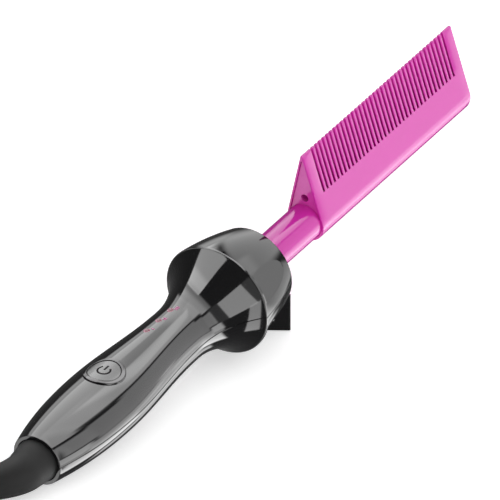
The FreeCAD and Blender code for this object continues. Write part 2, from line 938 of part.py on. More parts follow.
def long_round(radius, height):
    """A block with two half-round ends, about the hank's centre."""
    half = hank_run / 2
    block_part = block((-half, -radius, 0), (half, radius, height))
    ends = [Part.makeCylinder(radius, height, Vector(side * half, 0, 0)) for side in (-1, 1)]
    return block_part.fuse(ends).removeSplitter()


def hank_body(growth):
    """The hank's outer form: a long ring round the turns, grown by growth."""
    inner, outer, height = hank_sizes()
    ring = long_round(outer + growth, height + growth)
    return ring.cut(long_round(inner - growth, height + growth)).removeSplitter()


def at_hank(shape):
    """A shape drawn about the hank's centre, moved to the hank."""
    shape.translate(Vector(hank_centre[0], hank_centre[1], 0))
    return shape


def hank_and_tie():
    """The hank's outer form and the strap tied round its right run; it passes under the turns."""
    inner, outer, height = hank_sizes()
    ring = hank_body(0)
    flat = [edge for edge in ring.Edges if edge.BoundBox.ZLength < tie_thickness]
    ring = ring.makeFillet(hank_edge_radius, flat)
    rear = tie_offset - tie_width / 2
    front = tie_offset + tie_width / 2
    near = -outer - tie_thickness
    far = tie_thickness - inner
    under = block((rear, near, 0), (front, far, tie_thickness))
    band = block((rear, near, 0), (front, far, height + tie_thickness))
    hank = ring.cut(under)
    tie = band.cut(hank)
    return at_hank(hank), at_hank(tie)


def hank_cord_length():
    """Length of cord wound in the hank."""
    return hank_turns * (2 * hank_run + 2 * math.pi * hank_mid_radius)


def plug_parts():
    """The plug's body with its strain relief, and its two pins, pointing away from the tool."""
    start = Vector(*tail_route[-1])
    relief = Part.makeCone(
        plug_relief_radii[0], plug_relief_radii[1], plug_relief_length, start, Vector(1, 0, 0))
    rear = start.x + plug_relief_length
    front = rear + plug_length
    half = plug_half_width
    outline = [
        (rear, plug_rear_half_width), (rear + plug_rear_length, half), (front, half),
        (front, -half), (rear + plug_rear_length, -half), (rear, -plug_rear_half_width),
        (rear, plug_rear_half_width),
    ]
    low = start.z - plug_thickness / 2
    face = Part.Face(Part.makePolygon([Vector(x, start.y + y, low) for x, y in outline]))
    body = face.extrude(Vector(0, 0, plug_thickness))
    body = body.makeFillet(plug_edge_radius, body.Edges)
    pins = []
    for side in (-1, 1):
        centre = Vector(front, start.y + side * pin_spacing / 2, start.z)
        pin = Part.makeCylinder(pin_radius, pin_length, centre, Vector(1, 0, 0))
        tip = [edge for edge in pin.Edges if edge.BoundBox.XMin > front + pin_length - 0.01]
        pins.append(pin.makeFillet(pin_radius / 2, tip))
    body = body.fuse(relief).removeSplitter()
    pins = Part.makeCompound(pins)
    for shape in (body, pins):
        shape.rotate(start, Vector(0, 0, 1), plug_turn)
    return body, pins


def save(name, shape):
    """Write one sub-part to its own STEP file."""
    shape.exportStep(os.path.join("parts", name + ".step"))
    print(name, "solids", len(shape.Solids), "valid", shape.isValid(), "volume", round(shape.Volume, 2))


os.makedirs("parts", exist_ok=True)

floor_side = block((-handle_length * 2, -reach * 2, -reach * 2), (handle_length * 2, reach * 2, 0))
bottom_shell = on_floor(shell_half(-1)).cut(floor_side)
seat_rear = comb_start + end_recess
seat_front = comb_end - end_recess - end_plate

save("handle_bottom_shell", bottom_shell)
tool_parts = {
    "handle_top_shell": top_shell(),
    "shell_screws": shell_screws(),
    "bell_front_collar": bell_front_collar(),
    "stem_flange": stem_flange(),
    "stem_tube": stem_tube(),
    "comb_head": comb_head(),
    "comb_rear_plate": end_plate_body(seat_rear, stem_radius + press_gap),
    "comb_front_plate": end_plate_body(seat_front, 0),
    "ptc_heater": heater(),
    "heater_clamp_upper": heater_band(heater_thickness / 2, comb_height),
    "heater_clamp_lower": heater_band(-comb_height, -heater_thickness / 2),
    "heater_leads": heater_leads(),
    "thermal_fuse": thermal_fuse(),
    "temperature_sensor": sensor_bead(),
    "sensor_leads": sensor_leads(),
    "control_board": control_board(),
    "board_screws": board_screws(),
    "control_chip": board_block(chip_size, chip_setback, True),
    "triac": board_block(triac_size, triac_setback, False),
    "filter_capacitor": capacitor(),
    "indicator_leds": indicator_leds(),
    "indicator_lenses": indicator_lenses(),
    "tact_switch": tact_switch(),
    "switch_plunger": switch_plunger(),
    "power_button": power_button(),
    "button_bezel": button_bezel(),
    "swivel_housing": swivel_housing(),
    "brush_block": brush_block(),
    "contact_brushes": contact_brushes(),
    "supply_leads": supply_leads(),
    "swivel_spindle": swivel_spindle(),
    "slip_ring_board": slip_ring_board(),
    "contact_rings": contact_rings(),
    "cord_conductors": cord_conductors(),
}
for part_name, part_shape in tool_parts.items():
    save(part_name, on_floor(part_shape))

hank_shape, tie_shape = hank_and_tie()
around_hank = at_hank(hank_body(press_gap))
lead_heading = (Vector(*lead_start) - boot_corner()).normalize()
lead_points = [Vector(*lead_start), Vector(*lead_start) + lead_heading * lead_first_run]
lead_points += [Vector(*point) for point in lead_route]
lead_tube, lead_length = cord_tube("cord lead", lead_points)
tail_tube, tail_length = cord_tube("cord tail", tail_route)
plug_shape, pin_shapes = plug_parts()
save("cord_boot", cord_boot())
save("power_cord", Part.makeCompound([lead_tube.cut(around_hank), tail_tube.cut(around_hank)]))
save("cord_hank", hank_shape)
save("cord_tie", tie_shape)
save("plug_body", plug_shape)
save("plug_pins", pin_shapes)

print("tilt", round(math.degrees(tilt), 3))
print("exit", axis_point(handle_end), "swivel", axis_point(housing_rear))
print("axis direction", placement.Rotation.multVec(Vector(1, 0, 0)))
print("press direction", placement.Rotation.multVec(Vector(0, 0, -1)))
print("button", placement.multVec(Vector(-button_setback, 0, belly_half_height)))
print("cord", round(lead_length + tail_length + hank_cord_length(), 1), "of", cord_length)
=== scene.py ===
import logging
import math
from dataclasses import dataclass, field
from enum import Enum

import bmesh
import bpy
import numpy as np
from mathutils import Matrix, Vector


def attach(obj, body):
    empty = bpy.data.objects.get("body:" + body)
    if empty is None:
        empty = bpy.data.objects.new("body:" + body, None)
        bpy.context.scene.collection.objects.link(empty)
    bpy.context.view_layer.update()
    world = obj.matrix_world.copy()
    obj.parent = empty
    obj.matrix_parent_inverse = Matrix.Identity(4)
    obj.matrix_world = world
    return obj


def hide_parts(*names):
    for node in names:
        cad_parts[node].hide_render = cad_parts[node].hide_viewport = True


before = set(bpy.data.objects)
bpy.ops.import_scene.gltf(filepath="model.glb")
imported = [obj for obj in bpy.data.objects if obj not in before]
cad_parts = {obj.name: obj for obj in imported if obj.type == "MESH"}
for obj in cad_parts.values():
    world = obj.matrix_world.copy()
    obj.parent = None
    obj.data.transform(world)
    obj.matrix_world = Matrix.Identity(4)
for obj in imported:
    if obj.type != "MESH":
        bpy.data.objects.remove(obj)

log = logging.getLogger("hot_comb")

MILLIMETRE = 0.001
MERGE_DISTANCE = 3e-6  # metres
THIN_DISTANCE = 1e-6  # metres
HOLE_MARGIN = 0.6  # mm
GRAIN_HEIGHT = 0.0001  # metres
COAT_ROUGHNESS = 0.05
DRIFT_SCALE = 60.0
BODY_HANDLE = "handle"
BODY_BUTTON = "button"
BODY_CORD = "cord_side"

Array = np.ndarray
Piece = bpy.types.Object
Socket = bpy.types.NodeSocket
Sockets = bpy.types.NodeOutputs
Spot = tuple[float, float, float]
Colour = tuple[float, float, float, float]
Source = Socket | float | Colour
WHITE: Colour = (1.0, 1.0, 1.0, 1.0)


# ---------------------------------------------------------------- placing and mesh making


@dataclass(frozen=True)
class Stand:
    """How the tool stands on the floor: its axis is tipped and its rim centre is lifted."""

    cosine: float = 0.9944119741
    sine: float = 0.1055690564
    rim_x: float = -27.784
    rim_z: float = 25.707

    def place(self, points: Array) -> Array:
        """Turns points of the tool's own frame (axis, left, up) into floor points, still in mm.

        The axis coordinate and the height are rotated by the tilt and moved to the rim centre.

        Args:
            points: array (..., 3) in the tool's frame.

        Returns:
            Array of the same shape in the floor frame.
        """
        along, left, up = points[..., 0], points[..., 1], points[..., 2]
        x = along * self.cosine - up * self.sine + self.rim_x
        z = along * self.sine + up * self.cosine + self.rim_z
        return np.stack([x, left, z], axis=-1)

    def tool_frame(self, point: Vector) -> Array:
        """The tool's own (axis, left, up) in mm of a floor point in metres: place, undone."""
        x, y, z = point / MILLIMETRE - Vector((self.rim_x, 0.0, self.rim_z))
        return np.array([x * self.cosine + z * self.sine, y, z * self.cosine - x * self.sine])

    def floor_height(self, along: Array) -> Array:
        """Height, in the tool's frame, at which the floor lies under a station of the axis."""
        return -(self.rim_z + along * self.sine) / self.cosine

    def direction(self, along: float, right: float, up: float) -> Vector:
        """Floor-frame direction of a vector given as along the axis, to the right and up."""
        x, z = along * self.cosine - up * self.sine, along * self.sine + up * self.cosine
        return Vector((x, -right, z))


STAND = Stand()


def grid_quads(rows: int, cols: int, closed_rows: bool, closed_cols: bool) -> Array:
    """Quads between neighbouring points of a grid, wrapping round where a side is closed.

    Args:
        rows: number of rows of points.
        cols: number of points in a row.
        closed_rows: True where the last row joins the first.
        closed_cols: True where a row's last point joins its first.

    Returns:
        Array (quads, 4) of point indices, row by row.
    """
    row = np.arange(rows if closed_rows else rows - 1)
    col = np.arange(cols if closed_cols else cols - 1)
    i, j = np.meshgrid(row, col, indexing="ij")
    below, beside = (i + 1) % rows, (j + 1) % cols
    quads = [i * cols + j, below * cols + j, below * cols + beside, i * cols + beside]
    return np.stack(quads, axis=-1).reshape(-1, 4)


@dataclass
class Shape:
    """A mesh in the making: grids of points in mm and the faces between them."""

    points: list[Array] = field(default_factory=list)
    faces: list[Array] = field(default_factory=list)
    shades: list[Array] = field(default_factory=list)
    count: int = 0

    def add_grid(
        self,
        points: Array,
        closed_rows: bool = False,
        closed_cols: bool = False,
        keep: Array | None = None,
        shade: Array | None = None,
    ) -> int:
        """Adds a surface worked out on a grid.

        Args:
            points: array (rows, cols, 3).
            closed_rows: joins the last row to the first.
            closed_cols: joins the last column to the first.
            keep: optional mask of the quads that stay, one entry a quad.
            shade: optional value from 0 to 1 a point, kept as the piece's shade attribute; on the comb it
                is painted shade down the slot walls.

        Returns:
            Index of the grid's first point.
        """
        rows, cols = points.shape[:2]
        quads = grid_quads(rows, cols, closed_rows, closed_cols)
        if keep is not None:
            quads = quads[keep.reshape(-1)]
        first = self.count
        self.points.append(points.reshape(-1, 3))
        self.faces.append(quads + first)
        self.shades.append(np.zeros(rows * cols) if shade is None else shade.reshape(-1))
        self.count += rows * cols
        return first

    def add_cap(self, loop: Array) -> None:
        """Closes a loop of points with a fan of triangles round its middle point.

        Args:
            loop: array (n, 3), in order round the opening.
        """
        size = len(loop)
        first = self.count
        index = np.arange(size)
        fan = np.stack([np.full(size, size), index, (index + 1) % size], axis=-1)
        self.points.append(np.vstack([loop, loop.mean(axis=0)]))
        self.faces.append(fan + first)
        self.shades.append(np.zeros(size + 1))
        self.count += size + 1

    def add_strip(self, first_edge: Array, second_edge: Array, closed: bool = False) -> None:
        """Joins two rows of points, each an array (n, 3), with one row of quads."""
        self.add_grid(np.stack([first_edge, second_edge]), closed_cols=closed)

    def add_tube(self, grid: Array) -> None:
        """Adds a surface that is closed round each row and capped at its first and last row.

        Args:
            grid: array (rows, cols, 3).
        """
        self.add_grid(grid, closed_cols=True)
        self.add_cap(grid[0])
        self.add_cap(grid[-1])


def fillet_line(
    corners: list[Spot], steps: int = 6, closed: bool = False
) -> Array:
    """A polyline whose corners are replaced by arcs.

    Each corner is cut back by radius times the tangent of half its turn, and the arc between the
    two cuts is centred on the bisector of the corner.

    Args:
        corners: (u, v, radius) for each corner.
        steps: divisions of each arc.
        closed: True where the line returns to its start.

    Returns:
        Array (n, 2) of points.
    """
    spots = np.array([corner[:2] for corner in corners], dtype=float)
    size = len(corners)
    line: list[Array] = []
    for index, (_, _, radius) in enumerate(corners):
        inner = closed or 0 < index < size - 1
        if radius <= 0 or not inner:
            line.append(spots[index][None])
            continue
        before = unit(spots[index] - spots[index - 1])
        after = unit(spots[(index + 1) % size] - spots[index])
        turn = math.acos(float(np.clip(before @ after, -1, 1)))
        start = spots[index] - before * radius * math.tan(turn / 2)
        side = np.array([-before[1], before[0]])
        side = side if side @ after > 0 else -side
        centre = start + side * radius
        angle = np.linspace(0, turn, steps + 1)[:, None]
        line.append(centre - side * radius * np.cos(angle) + before * radius * np.sin(angle))
    return np.vstack(line)


def full_turn(segments: int) -> Array:
    """Evenly spaced angles of one full turn, in radians, without its end."""
    return np.linspace(0, 2 * math.pi, segments, endpoint=False)


def unit(rows: Array) -> Array:
    """Each vector of the last axis divided by its own length."""
    return rows / np.linalg.norm(rows, axis=-1, keepdims=True)


def ripple(place: Array, pitch: float) -> Array:
    """A raised cosine: 0 at each whole pitch and 1 half way between."""
    return 0.5 - 0.5 * np.cos(2 * math.pi * place / pitch)


def turned(profile: Array, segments: int) -> Array:
    """A profile of (station, radius) pairs carried round the x axis.

    Each point is (station, radius times cosine of the turn, radius times sine of the turn).

    Args:
        profile: array (n, 2).
        segments: divisions of the full turn.

    Returns:
        Array (n, segments, 3).
    """
    angle = full_turn(segments)
    station = np.broadcast_to(profile[:, :1], (len(profile), segments))
    radius = profile[:, 1:]
    return np.stack([station, radius * np.cos(angle), radius * np.sin(angle)], axis=-1)


def upright_turned(profile: Array, centre: tuple[float, float], segments: int) -> Array:
    """A profile of (radius, height) pairs carried round an upright axis.

    Args:
        profile: array (n, 2).
        centre: plan point of the axis.
        segments: divisions of the full turn.

    Returns:
        Array (n, segments, 3).
    """
    angle = full_turn(segments)
    height = np.broadcast_to(profile[:, 1:], (len(profile), segments))
    x = centre[0] + profile[:, :1] * np.cos(angle)
    y = centre[1] + profile[:, :1] * np.sin(angle)
    return np.stack([x, y, height], axis=-1)


def smoothstep(share: Array) -> Array:
    """The share clipped to 0 and 1, squared times three less twice itself: an S-shaped ramp."""
    inside = np.clip(share, 0.0, 1.0)
    return inside * inside * (3 - 2 * inside)


def add_object(name: str, data: bpy.types.ID) -> Piece:
    """Links a new object with this data to the scene.

    Args:
        name: its name.
        data: a mesh, a light or a camera.

    Returns:
        The object.
    """
    piece = bpy.data.objects.new(name, data)
    bpy.context.scene.collection.objects.link(piece)
    return piece


def smooth(mesh: bpy.types.Mesh, crisp: float) -> None:
    """Shades a mesh smooth, with sharp edges where it turns by more than crisp degrees."""
    mesh.shade_smooth()
    mesh.set_sharp_from_angle(angle=math.radians(crisp))


def mesh_object(name: str, shape: Shape, crisp: float, tool_frame: bool = True) -> Piece:
    """Turns a Shape into a Blender object at the origin, closed and facing outwards.

    Args:
        name: the piece's name.
        shape: its points in mm and its faces.
        crisp: angle in degrees above which an edge stays sharp.
        tool_frame: True where the points are in the tool's own frame.

    Returns:
        The new object, linked to the scene.
    """
    points = np.vstack(shape.points)
    points = STAND.place(points) if tool_frame else points
    faces = [face for block in shape.faces for face in block.tolist()]
    mesh = bpy.data.meshes.new(name)
    mesh.from_pydata((points * MILLIMETRE).tolist(), [], faces)
    shade = mesh.attributes.new("shade", "FLOAT", "POINT")
    shade.data.foreach_set("value", np.concatenate(shape.shades).astype(np.float32))
    tidy_mesh(mesh)
    smooth(mesh, crisp)
    return add_object(name, mesh)


def tidy_mesh(mesh: bpy.types.Mesh) -> None:
    """Merges points that coincide, drops faces without area and turns the faces outwards.

    Args:
        mesh: the mesh in metres, changed in place.
    """
    work = bmesh.new()
    work.from_mesh(mesh)
    bmesh.ops.remove_doubles(work, verts=work.verts, dist=MERGE_DISTANCE)
    bmesh.ops.dissolve_degenerate(work, edges=work.edges, dist=THIN_DISTANCE)
    bmesh.ops.recalc_face_normals(work, faces=work.faces)
    work.to_mesh(mesh)
    work.free()


def dress(
    piece: Piece,
    finish: "Finish",
    body: str,
    stands_for: tuple[str, ...] = (),
) -> Piece:
    """Gives a piece its material, its body and the CAD nodes it stands for.

    Args:
        piece: the new piece.
        finish: its finish.
        body: the body that it moves with.
        stands_for: the CAD nodes that it is shown in place of.

    Returns:
        The same piece.
    """
    piece.data.materials.clear()
    piece.data.materials.append(finish.material())
    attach(piece, body)
    if stands_for:
        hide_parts(*stands_for)
    log.info("%s: %d faces", piece.name, len(getattr(piece.data, "polygons", [])))
    return piece


# ---------------------------------------------------------------- finishes


def colour(red: int, green: int, blue: int) -> Colour:
    """A display colour as linear light, with the usual two-part curve.

    Args:
        red: red channel, 0 to 255.
        green: green channel, 0 to 255.
        blue: blue channel, 0 to 255.

    Returns:
        Linear red, green, blue and a full alpha.
    """
    share = np.array([red, green, blue]) / 255
    linear = np.where(share <= 0.04045, share / 12.92, ((share + 0.055) / 1.055) ** 2.4)
    return (float(linear[0]), float(linear[1]), float(linear[2]), 1.0)


def fresh_nodes(owner: bpy.types.Material | bpy.types.World) -> "NodeWork":
    """Empties a node tree, for new nodes.

    Args:
        owner: the material or world that has the tree.

    Returns:
        The tree, ready for adding.
    """
    owner.use_nodes = True
    owner.node_tree.nodes.clear()
    return NodeWork(owner.node_tree)


class NodeWork:
    """Short forms for adding nodes to a node tree and joining them."""

    def __init__(self, tree: bpy.types.NodeTree) -> None:
        """Keeps the tree that the nodes go to."""
        self.tree = tree

    def add(
        self, kind: str, values: dict[str | int, Source] | None = None, **settings: object
    ) -> bpy.types.Node:
        """Adds one node.

        Args:
            kind: the node's type.
            values: what feeds each input, by name or place: a socket is linked, a value is set.
            settings: the node's own properties.

        Returns:
            The node.
        """
        node = self.tree.nodes.new(kind)
        for key, value in settings.items():
            setattr(node, key, value)
        for key, value in (values or {}).items():
            if isinstance(value, Socket):
                self.tree.links.new(value, node.inputs[key])
            else:
                node.inputs[key].default_value = value
        return node

    def group(self, effect: "type[Effect]", values: dict[str, Source]) -> Sockets:
        """Places an effect with its own values, and returns its outputs."""
        return self.add("ShaderNodeGroup", values, node_tree=effect.tree()).outputs

    def math(self, operation: str, *sources: Source, clamp: bool = False) -> Socket:
        """Adds a Math node with these inputs, and returns its result."""
        values = dict(enumerate(sources))
        return self.add("ShaderNodeMath", values, operation=operation, use_clamp=clamp).outputs[0]

    def mix(self, share: Source, first: Source, second: Source) -> Socket:
        """The first colour where the share is 0, the second where it is 1."""
        values = {0: share, 6: first, 7: second}
        return self.add("ShaderNodeMix", values, data_type="RGBA").outputs[2]

    def ramp(self, place: Source, low: Source, high: Source, **ends: float) -> Socket:
        """An S-shaped ramp over the places from low to high, from 0 to 1 or between other ends.

        Args:
            place: what the ramp is read at.
            low: where it starts.
            high: where it ends.
            ends: other values for it, as start and end.

        Returns:
            The socket with its value.
        """
        values = {"Value": place, "From Min": low, "From Max": high}
        values |= {"To Min": ends.get("start", 0.0), "To Max": ends.get("end", 1.0)}
        return self.add("ShaderNodeMapRange", values, interpolation_type="SMOOTHSTEP").outputs[0]

    def noise(self, scale: Source, detail: float = 2.0) -> Socket:
        """Noise on the piece's own coordinates.

        Args:
            scale: how fine it is.
            detail: how many finer layers it has.

        Returns:
            The socket with its value, from 0 to 1.
        """
        place = self.add("ShaderNodeTexCoord").outputs["Object"]
        values = {"Vector": place, "Scale": scale, "Detail": detail}
        return self.add("ShaderNodeTexNoise", values).outputs["Fac"]


class Effect:
    """A shader node group, built once; a subclass names its sockets and joins them in fill."""

    name: str
    inputs: dict[str, float | Colour]
    outputs: dict[str, str]

    @classmethod
    def tree(cls) -> bpy.types.NodeTree:
        """Builds the group where it isn't there yet.

        Returns:
            The group's node tree.
        """
        known = bpy.data.node_groups.get(cls.name)
        if known is not None:
            return known
        tree = bpy.data.node_groups.new(cls.name, "ShaderNodeTree")
        for key, value in cls.inputs.items():
            kind = "NodeSocketFloat" if isinstance(value, float) else "NodeSocketColor"
            tree.interface.new_socket(key, in_out="INPUT", socket_type=kind).default_value = value
        for key, kind in cls.outputs.items():
            tree.interface.new_socket(key, in_out="OUTPUT", socket_type=kind)
        work = NodeWork(tree)
        given = work.add("NodeGroupInput").outputs
        work.add("NodeGroupOutput", cls.fill(work, given))
        return tree

    @staticmethod
    def fill(work: NodeWork, given: Sockets) -> dict[str, Socket]:
        """Joins the inputs, given by name, and returns the socket that feeds each output."""
        raise NotImplementedError


class SoftPatch(Effect):
    """A soft-edged patch of the surround, by lean and turn."""

    name = "soft_patch"
    inputs = dict.fromkeys(
        ("Lean", "Turn", "Lean Low", "Lean High", "Lean Edge", "Turn Low", "Turn High", "Turn Edge",
         "Slope", "Radiance"), 0.0,
    )
    outputs = {"Radiance": "NodeSocketFloat"}

    @staticmethod
    def fill(work: NodeWork, given: Sockets) -> dict[str, Socket]:
        """The radiance times four S-shaped ramps: up at both low edges, down at both high edges.

        Each ramp is as wide as its edge. Slope times the turn from the patch's middle is taken
        off the lean first.

        Args:
            work: the group's tree.
            given: its inputs, by name.

        Returns:
            The socket that feeds each output.
        """
        middle = work.math("MULTIPLY", work.math("ADD", given["Turn Low"], given["Turn High"]), 0.5)
        offset = work.math("SUBTRACT", given["Turn"], middle)
        lean = work.math("SUBTRACT", given["Lean"], work.math("MULTIPLY", offset, given["Slope"]))
        value = given["Radiance"]
        for key, place in (("Lean", lean), ("Turn", given["Turn"])):
            half = work.math("MULTIPLY", given[f"{key} Edge"], 0.5)
            for bound, start in (("Low", 0.0), ("High", 1.0)):
                edge = given[f"{key} {bound}"]
                low, high = work.math("SUBTRACT", edge, half), work.math("ADD", edge, half)
                share = work.ramp(place, low, high, start=start, end=1.0 - start)
                value = work.math("MULTIPLY", value, share)
        return {"Radiance": value}


class FineGrain(Effect):
    """Fine mould grain: noise on the piece's own coordinates as a roughness and a height."""

    name = "fine_grain"
    inputs = {"Scale": 900.0, "Base": 0.2, "Spread": 0.05}
    outputs = {"Roughness": "NodeSocketFloat", "Height": "NodeSocketFloat"}
    coarser = 0.09

    @classmethod
    def fill(cls, work: NodeWork, given: Sockets) -> dict[str, Socket]:
        """Roughness is Base plus Spread times a coarse noise less a half; Height is fine noise.

        Args:
            work: the group's tree.
            given: its inputs, by name.

        Returns:
            The socket that feeds each output.
        """
        coarse = work.noise(work.math("MULTIPLY", given["Scale"], cls.coarser))
        centred = work.math("SUBTRACT", coarse, 0.5)
        rough = work.math("MULTIPLY_ADD", centred, given["Spread"], given["Base"])
        return {"Roughness": rough, "Height": work.noise(given["Scale"])}


class TintDrift(Effect):
    """Slow change of colour over a piece."""

    name = "tint_drift"
    inputs = {
        "Scale": 60.0, "Amount": 0.2,
        "Tint": (0.5, 0.5, 0.5, 1.0), "Shade": (0.3, 0.3, 0.3, 1.0),
    }
    outputs = {"Color": "NodeSocketColor"}

    @staticmethod
    def fill(work: NodeWork, given: Sockets) -> dict[str, Socket]:
        """Tint mixed towards Shade by Amount times a noise of four octaves."""
        share = work.math("MULTIPLY", work.noise(given["Scale"], detail=4.0), given["Amount"])
        return {"Color": work.mix(share, given["Tint"], given["Shade"])}


class WornEdge(Effect):
    """Handling wear: where the surface turns sharply the Tint goes towards Bare."""

    name = "worn_edge"
    inputs = {
        "Start": 0.53, "Amount": 0.3,
        "Tint": (0.1, 0.1, 0.1, 1.0), "Bare": (0.3, 0.3, 0.3, 1.0),
    }
    outputs = {"Color": "NodeSocketColor"}
    steepness = 14.0
    patch_scale = 260.0

    @classmethod
    def fill(cls, work: NodeWork, given: Sockets) -> dict[str, Socket]:
        """The share of Bare is Pointiness above Start, steepened, times a noise and Amount.

        Args:
            work: the group's tree.
            given: its inputs, by name.

        Returns:
            The socket that feeds each output.
        """
        sharp = work.add("ShaderNodeNewGeometry").outputs["Pointiness"]
        above = work.math("SUBTRACT", sharp, given["Start"])
        steep = work.math("MULTIPLY", above, cls.steepness, clamp=True)
        broken = work.math("MULTIPLY", steep, work.noise(cls.patch_scale))
        mask = work.math("MULTIPLY", broken, given["Amount"], clamp=True)
        return {"Color": work.mix(mask, given["Tint"], given["Bare"])}


@dataclass(frozen=True)
class Finish:
    """One finish: a tint that drifts, a fine grain, worn edges and a gloss, as a node material.

    The tint drifts towards the shade, and a sharp edge wears towards bare. No finish bears the
    name of one of the frame's own plain materials.
    """

    name: str
    tint: Colour
    shade: Colour
    bare: Colour
    roughness: float = 0.3
    spread: float = 0.05
    grain_scale: float = 900.0
    grain_depth: float = 0.02
    drift_amount: float = 0.25
    wear: float = 0.0
    metallic: float = 0.0
    coat: float = 0.0
    specular: float = 0.5
    transmission: float = 0.0

    def material(self) -> bpy.types.Material:
        """Builds the material where it isn't there yet.

        Returns:
            The finish's material.
        """
        known = bpy.data.materials.get(self.name)
        if known is not None:
            return known
        material = bpy.data.materials.new(self.name)
        work = fresh_nodes(material)
        grain = work.group(
            FineGrain,
            {"Scale": self.grain_scale, "Base": self.roughness, "Spread": self.spread},
        )
        bump = work.add("ShaderNodeBump", {
            "Strength": self.grain_depth, "Distance": GRAIN_HEIGHT, "Height": grain["Height"],
        })
        shader = work.add("ShaderNodeBsdfPrincipled", {
            "Base Color": self.base_colour(work),
            "Roughness": grain["Roughness"],
            "Metallic": self.metallic,
            "Coat Weight": self.coat,
            "Coat Roughness": COAT_ROUGHNESS,
            "Specular IOR Level": self.specular,
            "Transmission Weight": self.transmission,
            "Normal": bump.outputs["Normal"],
        })
        work.add("ShaderNodeOutputMaterial", {"Surface": shader.outputs["BSDF"]})
        return material

    def base_colour(self, work: NodeWork) -> Socket:
        """The drifting tint with its worn edges.

        Args:
            work: the material's tree.

        Returns:
            The socket that carries the colour.
        """
        drift = work.group(TintDrift, {
            "Scale": DRIFT_SCALE, "Amount": self.drift_amount, "Tint": self.tint, "Shade": self.shade,
        })["Color"]
        if self.wear <= 0:
            return drift
        values = {"Amount": self.wear, "Bare": self.bare, "Tint": drift}
        return work.group(WornEdge, values)["Color"]


@dataclass(frozen=True)
class ShadedFinish(Finish):
    """A finish whose colour also runs from tint to rim by the piece's own shade attribute; on the comb
    the rim colour is painted shade in the slots.
    """

    rim: Colour = WHITE
    low: float = 0.3
    high: float = 0.8

    def base_colour(self, work: NodeWork) -> Socket:
        """Mixes the drifting tint towards the rim colour where shade runs from low to high.

        Args:
            work: the material's tree.

        Returns:
            The socket that carries the colour.
        """
        shade = work.add("ShaderNodeAttribute", attribute_name="shade").outputs["Fac"]
        share = work.ramp(shade, self.low, self.high)
        return work.mix(share, super().base_colour(work), self.rim)


GREY_BARE = colour(120, 120, 120)

GLOSS_BLACK = Finish(
    "gloss_black_plastic", colour(20, 20, 21), colour(12, 12, 13), colour(60, 60, 60),
    roughness=0.07, spread=0.02, grain_depth=0.01, wear=0.1,
)
SATIN_BLACK = Finish(
    "satin_black_plastic", colour(24, 24, 25), colour(15, 15, 16), colour(70, 70, 70),
    roughness=0.3, spread=0.08, grain_depth=0.12, wear=0.25,
)
BUTTON_BLACK = Finish(
    "button_black_plastic", colour(34, 34, 35), colour(24, 24, 25), colour(80, 80, 80),
    roughness=0.2, spread=0.04, grain_depth=0.06, wear=0.3, coat=0.2,
)
ENAMEL = {
    "tint": colour(217, 50, 175), "shade": colour(204, 38, 160), "bare": colour(240, 132, 208),
    "roughness": 0.09, "spread": 0.03, "grain_scale": 1400.0, "grain_depth": 0.03,
    "wear": 0.3, "specular": 0.3,
}
PINK_ENAMEL = Finish("enamel_pink", **ENAMEL)
# Painted shade: the comb's slot walls darken towards this dark magenta rim colour at the slot floors.
PINK_SHADED_SLOTS = ShadedFinish(
    "enamel_pink_painted_slot_shade", **ENAMEL, rim=colour(160, 14, 118), low=0.02, high=0.3,
)
INK_PINK = Finish(
    "pink_print", colour(206, 112, 164), colour(188, 96, 146), colour(224, 156, 194),
    roughness=0.42, spread=0.05, grain_depth=0.05, specular=0.3,
)
INK_BLACK = Finish(
    "black_print", colour(6, 6, 6), colour(3, 3, 3), colour(20, 20, 20),
    roughness=0.75, spread=0.05, grain_depth=0.05, specular=0.1,
)
LENS_PINK = ShadedFinish(
    "pink_lens", colour(112, 24, 46), colour(92, 16, 36), colour(255, 220, 230),
    roughness=0.12, spread=0.02, grain_depth=0.01, specular=0.35,
    rim=colour(184, 98, 130), low=0.4, high=0.9,
)
BOOT_RUBBER = Finish(
    "rubber_boot", colour(40, 40, 40), colour(29, 29, 29), colour(78, 78, 78),
    roughness=0.6, spread=0.12, grain_scale=1600.0, grain_depth=0.3, wear=0.3, specular=0.12,
)
CORD_SHEATH = Finish(
    "sheath_cord", colour(36, 36, 37), colour(26, 26, 26), colour(60, 60, 60),
    roughness=0.5, spread=0.1, grain_scale=700.0, grain_depth=0.18, specular=0.1,
)
TIE_STRAP = Finish(
    "strap_tie", colour(26, 26, 27), colour(16, 16, 17), colour(70, 70, 70),
    roughness=0.82, spread=0.1, grain_scale=2600.0, grain_depth=0.9, wear=0.3,
)
PLUG_BLACK = Finish(
    "black_plug", colour(28, 28, 29), colour(18, 18, 19), colour(66, 66, 66),
    roughness=0.36, spread=0.1, grain_scale=1500.0, grain_depth=0.22, wear=0.3,
)
PIN_NICKEL = Finish(
    "nickel_pin", colour(205, 203, 198), colour(176, 174, 168), colour(230, 230, 226),
    roughness=0.2, spread=0.1, grain_scale=2400.0, grain_depth=0.05, metallic=1.0, wear=0.3,
)
SCREW_STEEL = Finish(
    "steel_screw", colour(150, 150, 152), colour(112, 112, 114), colour(200, 200, 200),
    roughness=0.3, spread=0.12, grain_scale=2000.0, grain_depth=0.08, metallic=1.0, wear=0.3,
)
